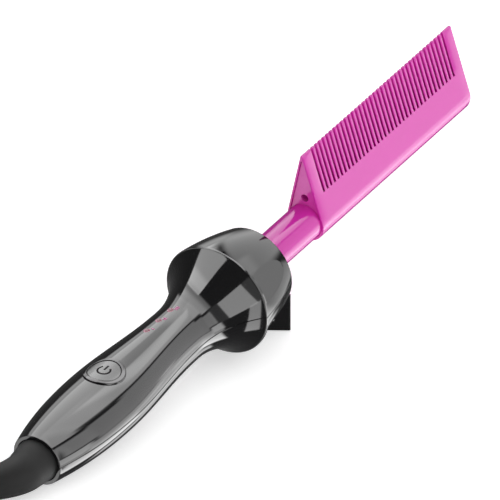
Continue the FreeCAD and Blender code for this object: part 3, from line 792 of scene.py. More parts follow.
NODE_FINISHES: dict[Finish, tuple[str, ...]] = {
    PINK_ENAMEL: ("comb_rear_plate", "comb_front_plate"),
    SATIN_BLACK: ("stem_flange", "switch_plunger", "swivel_housing"),
    SCREW_STEEL: ("board_screws",),
    Finish(
        "heater_ceramic", colour(226, 222, 208), colour(196, 190, 172), colour(240, 240, 232),
        roughness=0.62, spread=0.12, grain_scale=1500.0, grain_depth=0.25,
    ): ("ptc_heater",),
    Finish(
        "brushed_aluminium", colour(190, 192, 194), colour(160, 162, 165), colour(220, 220, 222),
        roughness=0.34, spread=0.14, grain_scale=1800.0, grain_depth=0.12, metallic=1.0,
    ): ("heater_clamp_upper", "heater_clamp_lower"),
    Finish(
        "lead_sleeve", colour(216, 212, 200), colour(186, 180, 164), GREY_BARE,
        roughness=0.58, spread=0.1, grain_scale=2200.0, grain_depth=0.3,
    ): ("heater_leads", "sensor_leads", "supply_leads", "cord_conductors"),
    Finish(
        "fuse_metal", colour(170, 172, 176), colour(140, 142, 146), GREY_BARE,
        roughness=0.26, spread=0.1, grain_depth=0.05, metallic=1.0,
    ): ("thermal_fuse",),
    Finish(
        "sensor_glass", colour(196, 120, 70), colour(160, 84, 40), GREY_BARE,
        roughness=0.08, spread=0.02, grain_depth=0.01, transmission=0.5,
    ): ("temperature_sensor",),
    Finish(
        "board_green", colour(28, 92, 56), colour(18, 66, 38), colour(130, 160, 120),
        roughness=0.36, spread=0.12, grain_scale=1200.0, grain_depth=0.12, drift_amount=0.6,
    ): ("control_board", "brush_block", "slip_ring_board"),
    Finish(
        "chip_black", colour(30, 30, 32), colour(20, 20, 22), colour(80, 80, 80),
        roughness=0.56, spread=0.1, grain_scale=2400.0, grain_depth=0.2,
    ): ("control_chip", "triac", "tact_switch"),
    Finish(
        "capacitor_sleeve", colour(28, 52, 110), colour(18, 34, 80), colour(120, 140, 180),
        roughness=0.3, spread=0.08, grain_depth=0.05,
    ): ("filter_capacitor",),
    Finish(
        "lamp_white", colour(240, 236, 220), colour(224, 214, 176), GREY_BARE,
        roughness=0.2, spread=0.05, grain_depth=0.02,
    ): ("indicator_leds",),
    Finish(
        "contact_brass", colour(206, 168, 92), colour(170, 132, 62), colour(236, 210, 150),
        roughness=0.24, spread=0.12, grain_scale=2000.0, grain_depth=0.06, metallic=1.0, wear=0.4,
    ): ("contact_brushes", "contact_rings"),
    Finish(
        "spindle_grey", colour(104, 106, 108), colour(84, 86, 88), colour(150, 150, 150),
        roughness=0.42, spread=0.1, grain_depth=0.15, wear=0.3,
    ): ("swivel_spindle",),
}

# ---------------------------------------------------------------- camera, light and floor


def stand_at(item: Piece, right: Vector, up: Vector, back: Vector, place: Vector) -> None:
    """Turns an object's axes to three square directions and moves it to a place in metres."""
    axes = Matrix((right, up, back)).transposed().to_4x4()
    item.matrix_world = Matrix.Translation(place) @ axes


@dataclass(frozen=True)
class Patch:
    """One soft bright patch of the surround, given by where it stands round the tool's axis.

    The lean is the angle between the axis and a direction, the turn the angle round the axis from
    up towards the right; both come as the low and high edge of the patch, in degrees. The slope is
    how much the lean moves for each degree of turn, and the soft edges are given in degrees.
    """

    lean: tuple[float, float]
    turn: tuple[float, float]
    radiance: float
    lean_edge: float = 2.0
    turn_edge: float = 2.0
    slope: float = 0.0

    def build(
        self, work: NodeWork, lean: Socket, turn: Socket
    ) -> Socket:
        """Adds the patch to a node tree.

        Args:
            work: the tree of the surround.
            lean: socket with the lean of each direction.
            turn: socket with its turn.

        Returns:
            The socket with the patch's radiance.
        """
        return work.group(SoftPatch, {
            "Lean": lean, "Lean Low": self.lean[0], "Lean High": self.lean[1],
            "Turn": turn, "Turn Low": self.turn[0], "Turn High": self.turn[1],
            "Lean Edge": self.lean_edge, "Turn Edge": self.turn_edge,
            "Slope": self.slope, "Radiance": self.radiance,
        })["Radiance"]


@dataclass(frozen=True)
class SoftLamp:
    """One large soft lamp that only the matt part of a surface shows, and its gloss does not."""

    name: str
    lean: float
    turn: float
    sides: tuple[float, float]
    radiance: float
    distance: float = 1.6

    def build(self, target: Vector) -> None:
        """Places the lamp by its lean and turn round the target and faces it there.

        The power is the radiance times pi times the area.

        Args:
            target: the point that the lamp faces, in metres.
        """
        lean, turn = math.radians(self.lean), math.radians(self.turn)
        data = bpy.data.lights.new(self.name, "AREA")
        data.shape = "RECTANGLE"
        data.size, data.size_y = self.sides
        data.energy = self.radiance * math.pi * data.size * data.size_y
        lamp = add_object(self.name, data)
        right, up = math.sin(lean) * math.sin(turn), math.sin(lean) * math.cos(turn)
        away = STAND.direction(math.cos(lean), right, up).normalized()
        side = STAND.direction(1, 0, 0)
        side = (side - away * side.dot(away)).normalized()
        stand_at(lamp, side, away.cross(side), away, target + away * self.distance)
        lamp.visible_camera = False
        lamp.visible_glossy = False


@dataclass
class Studio:
    """Camera, soft lamp, pale floor and the surround with its soft patches.

    The camera's right and upward ways and its shift from the rim's centre are given along the
    tool's axis, to the right and up, in mm where they are lengths; the rest is in metres.
    """

    view_width: float = 0.210
    lens: float = 1000.0
    sensor: float = 36.0
    clip: tuple[float, float] = (0.1, 50.0)
    right_way: Spot = (0.5583, 0.8282, -0.0486)
    up_way: Spot = (0.4960, -0.2862, 0.8198)
    frame_right: float = 13.52
    frame_up: float = 20.75
    floor_size: float = 10.0
    floor_grey: float = 0.86
    floor_roughness: float = 0.6
    floor_specular: float = 0.2
    floor_glow: float = 0.55
    surround: float = 0.45
    surround_gloss: float = 0.1
    lamp: SoftLamp = SoftLamp("shade_top", 75.0, 25.0, (2.24, 2.18), 0.8)
    lamp_target: Spot = (-0.05, 0.0, 0.03)
    patches: tuple[Patch, ...] = (
        Patch((-5, 35), (-84, 68), 2.2, 3.0, 40.0),
        Patch((35, 44), (-92, -60), 1.7, 3.0, 24.0),
        Patch((27.5, 35), (62, 104), 1.9, 2.0, 12.0),
        Patch((18, 38), (98, 168), 1.4, 4.0, 8.0),
        Patch((31, 38), (100, 122), 2.8, turn_edge=4.0),
        Patch((28, 38), (4, 50), 0.9, 6.0, 12.0),
        Patch((38, 64), (-58, 34), 4.6, 4.0, 4.0),
        Patch((38, 64), (-72, -58), 2.3, 4.0, 6.0),
        Patch((36, 47), (-34, -6), -1.8, turn_edge=4.0),
        Patch((41, 51), (-8, 24), 2.2, 6.0, 6.0, slope=-0.35),
        Patch((52, 66), (-20, 38), 0.8, 6.0, 6.0),
        Patch((36, 50), (40, 104), 2.4, 3.0, 4.0),
        Patch((50, 62), (47, 104), 2.5, 3.0, 4.0),
        Patch((62, 75), (51, 94), 2.9, 3.0, 5.0),
        Patch((38, 64), (106, 118), 3.6, 3.0, 4.0),
        Patch((38, 64), (118, 128), 4.8, 3.0, 4.0),
        Patch((38, 48), (128, 162), 3.6, 4.0, 4.0),
        Patch((48, 71), (128, 156), 6.8, 4.0, 6.0),
        Patch((40, 56), (162, 178), 2.2, 3.0, 4.0),
        Patch((64, 80), (-58, 43), 2.4, 3.0),
        Patch((64, 74), (-58, 43), 2.3, 8.0),
        Patch((64, 78), (98, 118), 5.4, 4.0),
        Patch((64, 76), (118, 128), 3.4, 5.0, 3.0),
        Patch((79, 131), (-57, -7), 5.5, 1.5, 1.5),
        Patch((82, 97), (-57, -7), 2.3, 8.0, 1.5),
        Patch((72, 89), (46, 99), 0.4),
        Patch((89, 125), (48, 99), 4.9, 1.5, 1.5),
        Patch((125, 138), (48, 99), 0.6),
        Patch((102, 116), (98, 148), 4.5, 1.5, 3.0, slope=-0.5),
        Patch((118, 150), (-165, -115), 2.6),
    )

    def build_camera(self) -> None:
        """A long lens far away, so that the view is nearly without perspective.

        The distance is the view's width times the lens over the sensor.
        """
        right = STAND.direction(*self.right_way).normalized()
        up = STAND.direction(*self.up_way)
        up = (up - right * up.dot(right)).normalized()
        back = right.cross(up)
        rim = Vector((STAND.rim_x, 0, STAND.rim_z))
        centre = (rim + right * self.frame_right + up * self.frame_up) * MILLIMETRE
        data = bpy.data.cameras.new("camera")
        data.lens, data.sensor_width = self.lens, self.sensor
        data.clip_start, data.clip_end = self.clip
        camera = add_object("camera", data)
        distance = self.view_width * self.lens / self.sensor
        stand_at(camera, right, up, back, centre + back * distance)
        bpy.context.scene.camera = camera

    def build_lights(self) -> None:
        """The lamp, and a surround that is even for matt surfaces and has soft patches for gloss.

        A direction d has the lean acos(d . axis) and the turn atan2(d . right, d . up), and the
        radiance that gloss shows is the dim surround plus the sum of the patches there.
        """
        scene = bpy.context.scene
        scene.view_settings.view_transform = "Standard"
        self.lamp.build(Vector(self.lamp_target))
        scene.world = bpy.data.worlds.new("surround")
        work = fresh_nodes(scene.world)
        way = work.add("ShaderNodeTexCoord").outputs["Generated"]
        axis, right, up = (
            work.add("ShaderNodeVectorMath", {0: way, 1: side}, operation="DOT_PRODUCT").outputs["Value"]
            for side in (STAND.direction(1, 0, 0), STAND.direction(0, 1, 0), STAND.direction(0, 0, 1))
        )
        lean = work.math("DEGREES", work.math("ARCCOSINE", axis))
        turn = work.math("DEGREES", work.math("ARCTAN2", right, up))
        total: Source = self.surround_gloss
        for patch in self.patches:
            total = work.math("ADD", total, patch.build(work, lean, turn))
        plain, shown = (
            work.add("ShaderNodeBackground", {"Color": WHITE, "Strength": strength}).outputs[0]
            for strength in (self.surround, total)
        )
        glossy = work.add("ShaderNodeLightPath").outputs["Is Glossy Ray"]
        mix = work.add("ShaderNodeMixShader", {0: glossy, 1: plain, 2: shown}).outputs[0]
        work.add("ShaderNodeOutputWorld", {"Surface": mix})

    def build_floor(self) -> None:
        """A pale floor at height zero; gloss shows the surround instead of it."""
        half = self.floor_size / 2
        mesh = bpy.data.meshes.new("floor")
        corners = [(-half, -half, 0), (half, -half, 0), (half, half, 0), (-half, half, 0)]
        mesh.from_pydata(corners, [], [(0, 1, 2, 3)])
        floor = add_object("floor", mesh)
        material = bpy.data.materials.new("pale_floor")
        work = fresh_nodes(material)
        shader = work.add("ShaderNodeBsdfPrincipled", {
            "Base Color": (self.floor_grey, self.floor_grey, self.floor_grey, 1.0),
            "Roughness": self.floor_roughness,
            "Specular IOR Level": self.floor_specular,
            "Emission Color": WHITE,
            "Emission Strength": self.floor_glow,
        })
        work.add("ShaderNodeOutputMaterial", {"Surface": shader.outputs["BSDF"]})
        mesh.materials.append(material)
        floor.visible_glossy = False
        floor.visible_shadow = False


# ---------------------------------------------------------------- cord, boot, tie and plug


def cord_spline(
    name: str, points: Array, bevel: float = 0.0, resolution: int = 6
) -> Piece:
    """A NURBS curve of order three through its end points.

    Args:
        name: name of the curve.
        points: array (n, 3) of control points in mm.
        bevel: radius of the round section in mm, or 0 for a bare line.
        resolution: divisions between two control points.

    Returns:
        The curve object, linked to the scene.
    """
    data = bpy.data.curves.new(name, "CURVE")
    data.dimensions = "3D"
    data.resolution_u = resolution
    data.bevel_depth = bevel * MILLIMETRE
    data.bevel_resolution = 5
    data.use_fill_caps = True
    line = data.splines.new("NURBS")
    line.points.add(len(points) - 1)
    spots = np.hstack([points * MILLIMETRE, np.ones((len(points), 1))])
    line.points.foreach_set("co", spots.ravel())
    line.order_u = 3
    line.use_endpoint_u = True
    return add_object(name, data)


def read_line(points: Array) -> Array:
    """The line of the spline that these control points give, read from Blender.

    Args:
        points: array (n, 3) of control points in mm.

    Returns:
        Array (m, 3) of points along it, in mm.
    """
    curve = cord_spline("guide", points, resolution=24)
    graph = bpy.context.evaluated_depsgraph_get()
    mesh = bpy.data.meshes.new_from_object(curve.evaluated_get(graph))
    line = np.empty(len(mesh.vertices) * 3)
    mesh.vertices.foreach_get("co", line)
    bpy.data.meshes.remove(mesh)
    bpy.data.objects.remove(curve)
    return line.reshape(-1, 3) / MILLIMETRE


@dataclass
class Boot:
    """The strain relief: a bent rubber sleeve with grooves at its thin end, in mm.

    It starts inside the handle, on the tool's axis, and ends where the cord comes out; the
    stations are along the axis, the tip is a floor point and its lead the way it comes to it.
    """

    tip: Spot
    tip_lead: Spot = (-5.9, 5.28, -1.1)
    rear: float = -121.3
    handle_end: float = -133.6
    straight_end: float = -135.6
    corner: float = -147.9
    radius: float = 9.8
    tip_radius: float = 4.3
    groove_pitch: float = 5.0
    groove_depth: float = 0.55
    groove_margin: float = 3.5
    groove_run: float = 20.0
    edge: float = 0.8
    edge_drop: float = 0.6
    rows: int = 150
    segments: int = 72

    def build(self) -> Piece:
        """Carries a round section along the boot's line.

        The radius is full inside the handle and falls evenly to the tip; the grooves of the
        outer half are a cubed raised cosine, and the tip's edge is a quarter of an oval. The
        section stands square to the line, on axes made from its direction and the upright.

        Returns:
            The boot.
        """
        stations = np.array([self.rear, self.straight_end, self.corner])
        axis = STAND.place(stations[:, None] * [1.0, 0.0, 0.0])
        tip = np.array(self.tip)
        line = read_line(np.vstack([axis, tip - self.tip_lead, tip]))
        steps = np.linalg.norm(np.diff(line, axis=0), axis=1)
        place = np.concatenate([[0.0], np.cumsum(steps)])
        wanted = np.linspace(0, place[-1], self.rows)
        centre = np.stack([np.interp(wanted, place, line[:, k]) for k in range(3)], axis=-1)
        heading = unit(np.gradient(centre, axis=0))
        side = unit(np.cross(heading, [0.0, 0.0, 1.0]))
        up = np.cross(side, heading)
        straight = self.rear - self.handle_end
        share = np.clip((wanted - straight) / (place[-1] - straight), 0, 1)
        radius = self.radius + (self.tip_radius - self.radius) * share
        grooved = place[-1] - wanted - self.groove_margin
        inside = (grooved > 0) & (grooved < self.groove_run)
        radius -= self.groove_depth * ripple(grooved, self.groove_pitch) ** 3 * inside
        eased = np.clip(1 - (place[-1] - wanted) / self.edge, 0, 1)
        radius -= self.edge_drop * (1 - np.sqrt(1 - eased ** 2))
        angle = full_turn(self.segments)[None, :, None]
        ring = side[:, None] * np.cos(angle) + up[:, None] * np.sin(angle)
        shape = Shape()
        shape.add_tube(centre[:, None] + ring * radius[:, None, None])
        boot = mesh_object("cord_boot_skin", shape, crisp=40, tool_frame=False)
        return dress(boot, BOOT_RUBBER, BODY_CORD, ("cord_boot",))


@dataclass
class Tie:
    """The strap round one run of the hank, in the floor frame, in mm."""

    hank_centre: tuple[float, float]
    offset: float
    thickness: float
    width: float = 8.0
    gap: float = 0.35
    hank_inner: float = 16.05
    hank_outer: float = 34.95
    hank_height: float = 12.45
    low_corner: float = 1.6
    high_corner: float = 3.0
    inner_edge: float = 0.15
    outer_edge: float = 0.25

    def build(self) -> Piece:
        """Carries a flat section round a rounded box that clears the turns.

        The box stands across the run, in the upright plane at the tie's place; each point is
        the box's own moved along its outward normal by the section, and no lower than the floor.

        Returns:
            The strap.
        """
        bottom, top = self.thickness, self.hank_height + self.thickness + self.gap
        low, high = self.hank_inner - self.gap, self.hank_outer + self.gap
        box = fillet_line([
            (low, bottom, self.low_corner), (high, bottom, self.low_corner),
            (high, top, self.high_corner), (low, top, self.high_corner),
        ], steps=8, closed=True)
        along = np.roll(box, -1, axis=0) - np.roll(box, 1, axis=0)
        outward = unit(np.stack([along[:, 1], -along[:, 0]], axis=-1))
        from_middle = box - box.mean(axis=0)
        outward *= np.sign(np.sum(outward * from_middle, axis=1, keepdims=True))
        half = self.width / 2
        section = fillet_line([
            (-half, 0, self.inner_edge), (half, 0, self.inner_edge),
            (half, self.thickness, self.outer_edge), (-half, self.thickness, self.outer_edge),
        ], steps=3, closed=True)
        spot = box[:, None] + outward[:, None] * section[None, :, 1:]
        x = self.hank_centre[0] + self.offset + np.broadcast_to(section[None, :, 0], spot.shape[:2])
        y = self.hank_centre[1] - spot[..., 0]
        shape = Shape()
        grid = np.stack([x, y, np.maximum(spot[..., 1], 0.0)], axis=-1)
        shape.add_grid(grid, closed_rows=True, closed_cols=True)
        tie = mesh_object("cord_tie_strap", shape, crisp=50, tool_frame=False)
        return dress(tie, TIE_STRAP, BODY_CORD, ("cord_tie",))


@dataclass
class Plug:
    """The plug with its ringed relief and its two pins, in the floor frame, in mm.

    It lies along x, from the end of the cord towards the pins.
    """

    start: Spot
    relief_length: float = 20.0
    relief_radius: float = 3.6
    relief_growth: float = 1.6
    ring_pitch: float = 4.0
    ring_depth: float = 0.45
    ring_end: float = 19.0
    neck_half_width: float = 7.0
    widening: float = 10.6
    widening_length: float = 14.0
    half_height: float = 6.7
    body_length: float = 34.0
    shoulder_drop: float = 1.6
    squareness: float = 0.62
    segments: int = 96
    pin_radius: float = 2.0
    pin_length: float = 19.0
    pin_rear: float = -0.5
    pin_tip_edge: float = 1.2
    pin_offset: float = 9.3
    step_margin: float = 0.6
    step_stations: tuple[float, ...] = (0.0, 0.15, 0.4, 0.8, 1.6)
    body_rows: tuple[tuple[float, float, int], ...] = ((2.4, 13, 16), (14, 32, 12))
    end_setbacks: tuple[float, ...] = (1.4, 0.9, 0.5, 0.2, 0.05, 0.0)

    def build(self) -> list[Piece]:
        """The plug's body and its two pins."""
        return [self.build_body(), self.build_pins()]

    def build_body(self) -> Piece:
        """One section carried along x: half the width and height times a power of a turn.

        The powers of cosine and sine are low along the body, which is nearly square, and one
        along the round relief, whose rings are a cubed raised cosine. Where the body is wide it
        steps in by a quarter circle.

        Returns:
            The body.
        """
        front = self.relief_length
        station = np.concatenate([
            np.linspace(0, front - self.step_margin, 60), front + np.array(self.step_stations),
            *(front + np.linspace(*run) for run in self.body_rows),
            front + self.body_length - np.array(self.end_setbacks),
        ])
        body = smoothstep((station - front + 0.4) / 1.2)
        relief = self.relief_radius + self.relief_growth * np.clip(station / front, 0, 1)
        rings = ripple(station, self.ring_pitch) ** 3 * (station < self.ring_end)
        relief -= self.ring_depth * rings
        shoulder = front + self.widening_length
        wide = smoothstep((station - front) / self.widening_length)
        step = np.clip(1 - (shoulder - station) / self.shoulder_drop, 0, 1)
        drop = self.shoulder_drop * (1 - np.sqrt(1 - step ** 2))
        half_width = relief + (self.neck_half_width + self.widening * wide - relief) * body - drop
        half_height = relief + (self.half_height - relief) * body - drop
        power = (1.0 - self.squareness * body)[:, None]
        cosine, sine = np.cos(full_turn(self.segments)), np.sin(full_turn(self.segments))
        y = half_width[:, None] * np.sign(cosine) * np.abs(cosine) ** power
        z = half_height[:, None] * np.sign(sine) * np.abs(sine) ** power
        x = np.broadcast_to(station[:, None], y.shape)
        shape = Shape()
        shape.add_tube(np.stack([-x, y, z], axis=-1) + self.start)
        plug = mesh_object("plug_shell", shape, crisp=38, tool_frame=False)
        return dress(plug, PLUG_BLACK, BODY_CORD, ("plug_body",))

    def build_pins(self) -> Piece:
        """Two round pins: a profile with an eased tip turned about its own axis.

        Returns:
            The pins, as one piece.
        """
        profile = fillet_line([
            (self.pin_rear, 0.0, 0), (self.pin_rear, self.pin_radius, 0),
            (self.pin_length, self.pin_radius, self.pin_tip_edge), (self.pin_length, 0.0, 0),
        ], steps=8)
        pins = Shape()
        for side in (-1, 1):
            rear = [self.relief_length + self.body_length, side * self.pin_offset, 0.0]
            pins.add_grid(self.start - turned(profile, 40) - rear, closed_cols=True)
        metal = mesh_object("plug_pin_pair", pins, crisp=35, tool_frame=False)
        return dress(metal, PIN_NICKEL, BODY_CORD, ("plug_pins",))


@dataclass
class CordSet:
    """The power cord and the pieces along it, in the floor frame, in mm."""

    diameter: float = 6.2
    length: float = 1800.0
    lead: tuple[Spot, ...] = (
        (-200.0, 22.5, 5.4),
        (-209.96, 31.42, 3.54),
        (-223.0, 36.8, 3.1),
        (-244.0, 36.8, 3.1),
    )
    tail: tuple[Spot, ...] = (
        (-287.5, -26.8, 11.4),
        (-250.1, -26.8, 15.8),
        (-234.6, -11.3, 16.4),
        (-234.6, 8.5, 17.9),
        (-250.1, 24.0, 19.2),
        (-273.0, 24.0, 19.2),
    )
    centre: tuple[float, float] = (-301.5, 5.0)
    run: float = 93.0
    turn_radii: tuple[float, ...] = (31.8, 25.5, 19.2, 19.2, 25.5, 31.8)
    turns: float = 4.63
    lower_turns: int = 3
    layer_low: float = 3.1
    layer_high: float = 9.35
    end_points: int = 8
    end_stretch: float = 0.981
    tie_offset: float = -24.0
    tie_thickness: float = 0.7
    tie_gap: float = 0.15
    rise_reach: float = 34.0
    rise_run: float = 20.0

    def winding(self) -> Array:
        """Control points of the hank's turns, each a long ring with half-round ends.

        A turn is four quarters: the run away from the tool, the far end, the run back and the
        near end. The lower turns shift in by one spacing over the near end; the last of them
        climbs one diameter over its run back; the upper turns shift out over the far end. On a
        round end the radius is divided by the end stretch, because the spline runs inside its
        control points by that share there. The run under the tie rises by the tie's thickness.

        Returns:
            Array (n, 3) in mm.
        """
        quarter = 0.25
        on_run = quarter * np.array([0.1, 0.5, 0.9])
        on_end = quarter * (1 + (np.arange(self.end_points) + 0.5) / self.end_points)
        shares = np.concatenate([on_run, on_end, on_run + 0.5, on_end + 0.5])
        radii = np.array(self.turn_radii)
        gone = (np.arange(len(radii))[:, None] + shares).ravel()
        gone = gone[gone < self.turns]
        turn = gone.astype(int)
        share = gone - turn
        shift_start = np.where(turn < self.lower_turns, 3 * quarter, quarter)
        shift = smoothstep((share - shift_start) / quarter)
        after = radii[np.minimum(turn + 1, len(radii) - 1)]
        radius = radii[turn] + (after - radii[turn]) * shift
        climb = smoothstep((gone - self.lower_turns + 0.5) / quarter)
        height = self.layer_low + (self.layer_high - self.layer_low) * climb
        half_share = (share % 0.5) / quarter
        round_end = half_share >= 1
        angle = math.pi * (half_share - 1)
        half = self.run / 2
        reach = radius / np.where(round_end, self.end_stretch, 1.0)
        x = np.where(round_end, -half - reach * np.sin(angle), half - self.run * half_share)
        y = np.where(round_end, reach * np.cos(angle), reach)
        back = np.where(share >= 0.5, -1.0, 1.0)
        x, y = x * back + self.centre[0], y * back + self.centre[1]
        from_tie = np.abs(x - self.centre[0] - self.tie_offset)
        from_tie = np.where(y > self.centre[1], self.rise_reach, from_tie)
        rise = smoothstep((self.rise_reach - from_tie) / self.rise_run)
        return np.stack([x, y, height + (self.tie_thickness + self.tie_gap) * rise], axis=-1)

    def build(self) -> None:
        points = np.vstack([np.array(self.lead), self.winding(), np.array(self.tail)])
        cord = cord_spline("mains_cord", points, self.diameter / 2)
        dress(cord, CORD_SHEATH, BODY_CORD, ("power_cord", "cord_hank"))
        boot = Boot(self.lead[0]).build()
        tie = Tie(self.centre, self.tie_offset, self.tie_thickness).build()
        plug, pins = Plug(self.tail[-1]).build()


# ---------------------------------------------------------------- handle and bell


class Half(Enum):
    """Which of the two shells."""

    TOP = 1
    BOTTOM = -1


@dataclass
class HandleSkin:
    """The outer form of handle and bell, shared by the shells and what sits on them, in mm.

    Stations run along the tool's axis from the bell's rim, forwards; a setback is a distance
    behind the rim. The facets' centre is an angle above the parting plane.
    """

    length: float = 133.6
    end_radius: float = 11.7
    belly_setback: float = 88.0
    belly_half_width: float = 17.8
    belly_half_height: float = 14.4
    belly_fullness: float = 2.2
    waist_setback: float = 30.0
    waist_radius: float = 13.1
    rim_radius: float = 25.5
    rim_land: float = 0.8
    rim_lip: float = 0.35
    drum_length: float = 28.1
    drum_front_radius: float = 18.9
    drum_bulge: float = 0.75
    facet_centre: float = 30.0
    facet_half_angle: float = 14.0
    facet_length: float = 23.0
    facet_end_bulge: float = 0.45

    def half_size(self, x: Array, belly: float) -> Array:
        """Half the handle's width or height.

        Behind the belly it falls by a power curve to the end, between belly and waist by half a
        cosine, and in front of the waist it opens by the arc of one circle.

        Args:
            x: stations.
            belly: half the width or height at the belly.

        Returns:
            Array like x.
        """
        back = -x
        depth = self.rim_radius - self.rim_lip - self.waist_radius
        run = self.waist_setback - self.rim_land
        sweep = (run ** 2 + depth ** 2) / (2 * depth)
        lean = np.clip((x + self.waist_setback) / sweep, 0, 0.999)
        flare = self.waist_radius + sweep * (1 - np.sqrt(1 - lean ** 2))
        far = np.clip((back - self.belly_setback) / (self.length - self.belly_setback), 0, 1.2)
        rear = belly - (belly - self.end_radius) * far ** self.belly_fullness
        near = (self.belly_setback - back) / (self.belly_setback - self.waist_setback)
        fall = (1 + np.cos(math.pi * np.clip(near, 0, 1))) / 2
        middle = self.waist_radius + (belly - self.waist_radius) * fall
        behind = np.where(back >= self.belly_setback, rear, middle)
        return np.where(back < self.waist_setback, flare, behind)

    def half_width(self, x: Array) -> Array:
        """Half the handle's width at stations x."""
        return self.half_size(x, self.belly_half_width)

    def half_height(self, x: Array) -> Array:
        """Half the handle's height at stations x."""
        return self.half_size(x, self.belly_half_height)

    def top(self, x: Array, y: Array, lift: float | Array = 0.0) -> Array:
        """Half height times the root of one less the square of y over half width, each grown by lift."""
        side = np.clip(y / (self.half_width(x) + lift), -0.999, 0.999)
        return (self.half_height(x) + lift) * np.sqrt(1 - side ** 2)

    def drum(self, x: Array) -> Array:
        """Radius of the drum: an arc through its rim, its bulged middle and its front.

        Args:
            x: stations.

        Returns:
            Array like x.
        """
        ends = np.array([[0.0, self.rim_radius], [self.drum_length, self.drum_front_radius]])
        chord = ends[1] - ends[0]
        half = np.linalg.norm(chord) / 2
        # the bulge is measured upright, so its share square to the chord is a little less
        rise = self.drum_bulge * chord[0] / (2 * half)
        sweep = (half ** 2 + rise ** 2) / (2 * rise)
        normal = np.array([-chord[1], chord[0]]) / (2 * half)
        centre = ends.mean(axis=0) - normal * (sweep - rise)
        return centre[1] + np.sqrt(sweep ** 2 - (x - centre[0]) ** 2)

    def drum_cone(self, x: Array | float) -> Array | float:
        """Radius of the plain cone between the drum's rim and front, under its bulge."""
        return self.rim_radius + (self.drum_front_radius - self.rim_radius) * x / self.drum_length

    def facet_plane(self, x: Array) -> Array:
        """Distance of the facets' planes from the axis, which falls evenly.

        Args:
            x: stations.

        Returns:
            Array like x.
        """
        start = self.rim_radius * math.cos(math.radians(self.facet_half_angle))
        end = self.drum_cone(self.facet_length) + self.facet_end_bulge
        return start + (end - start) * x / self.facet_length


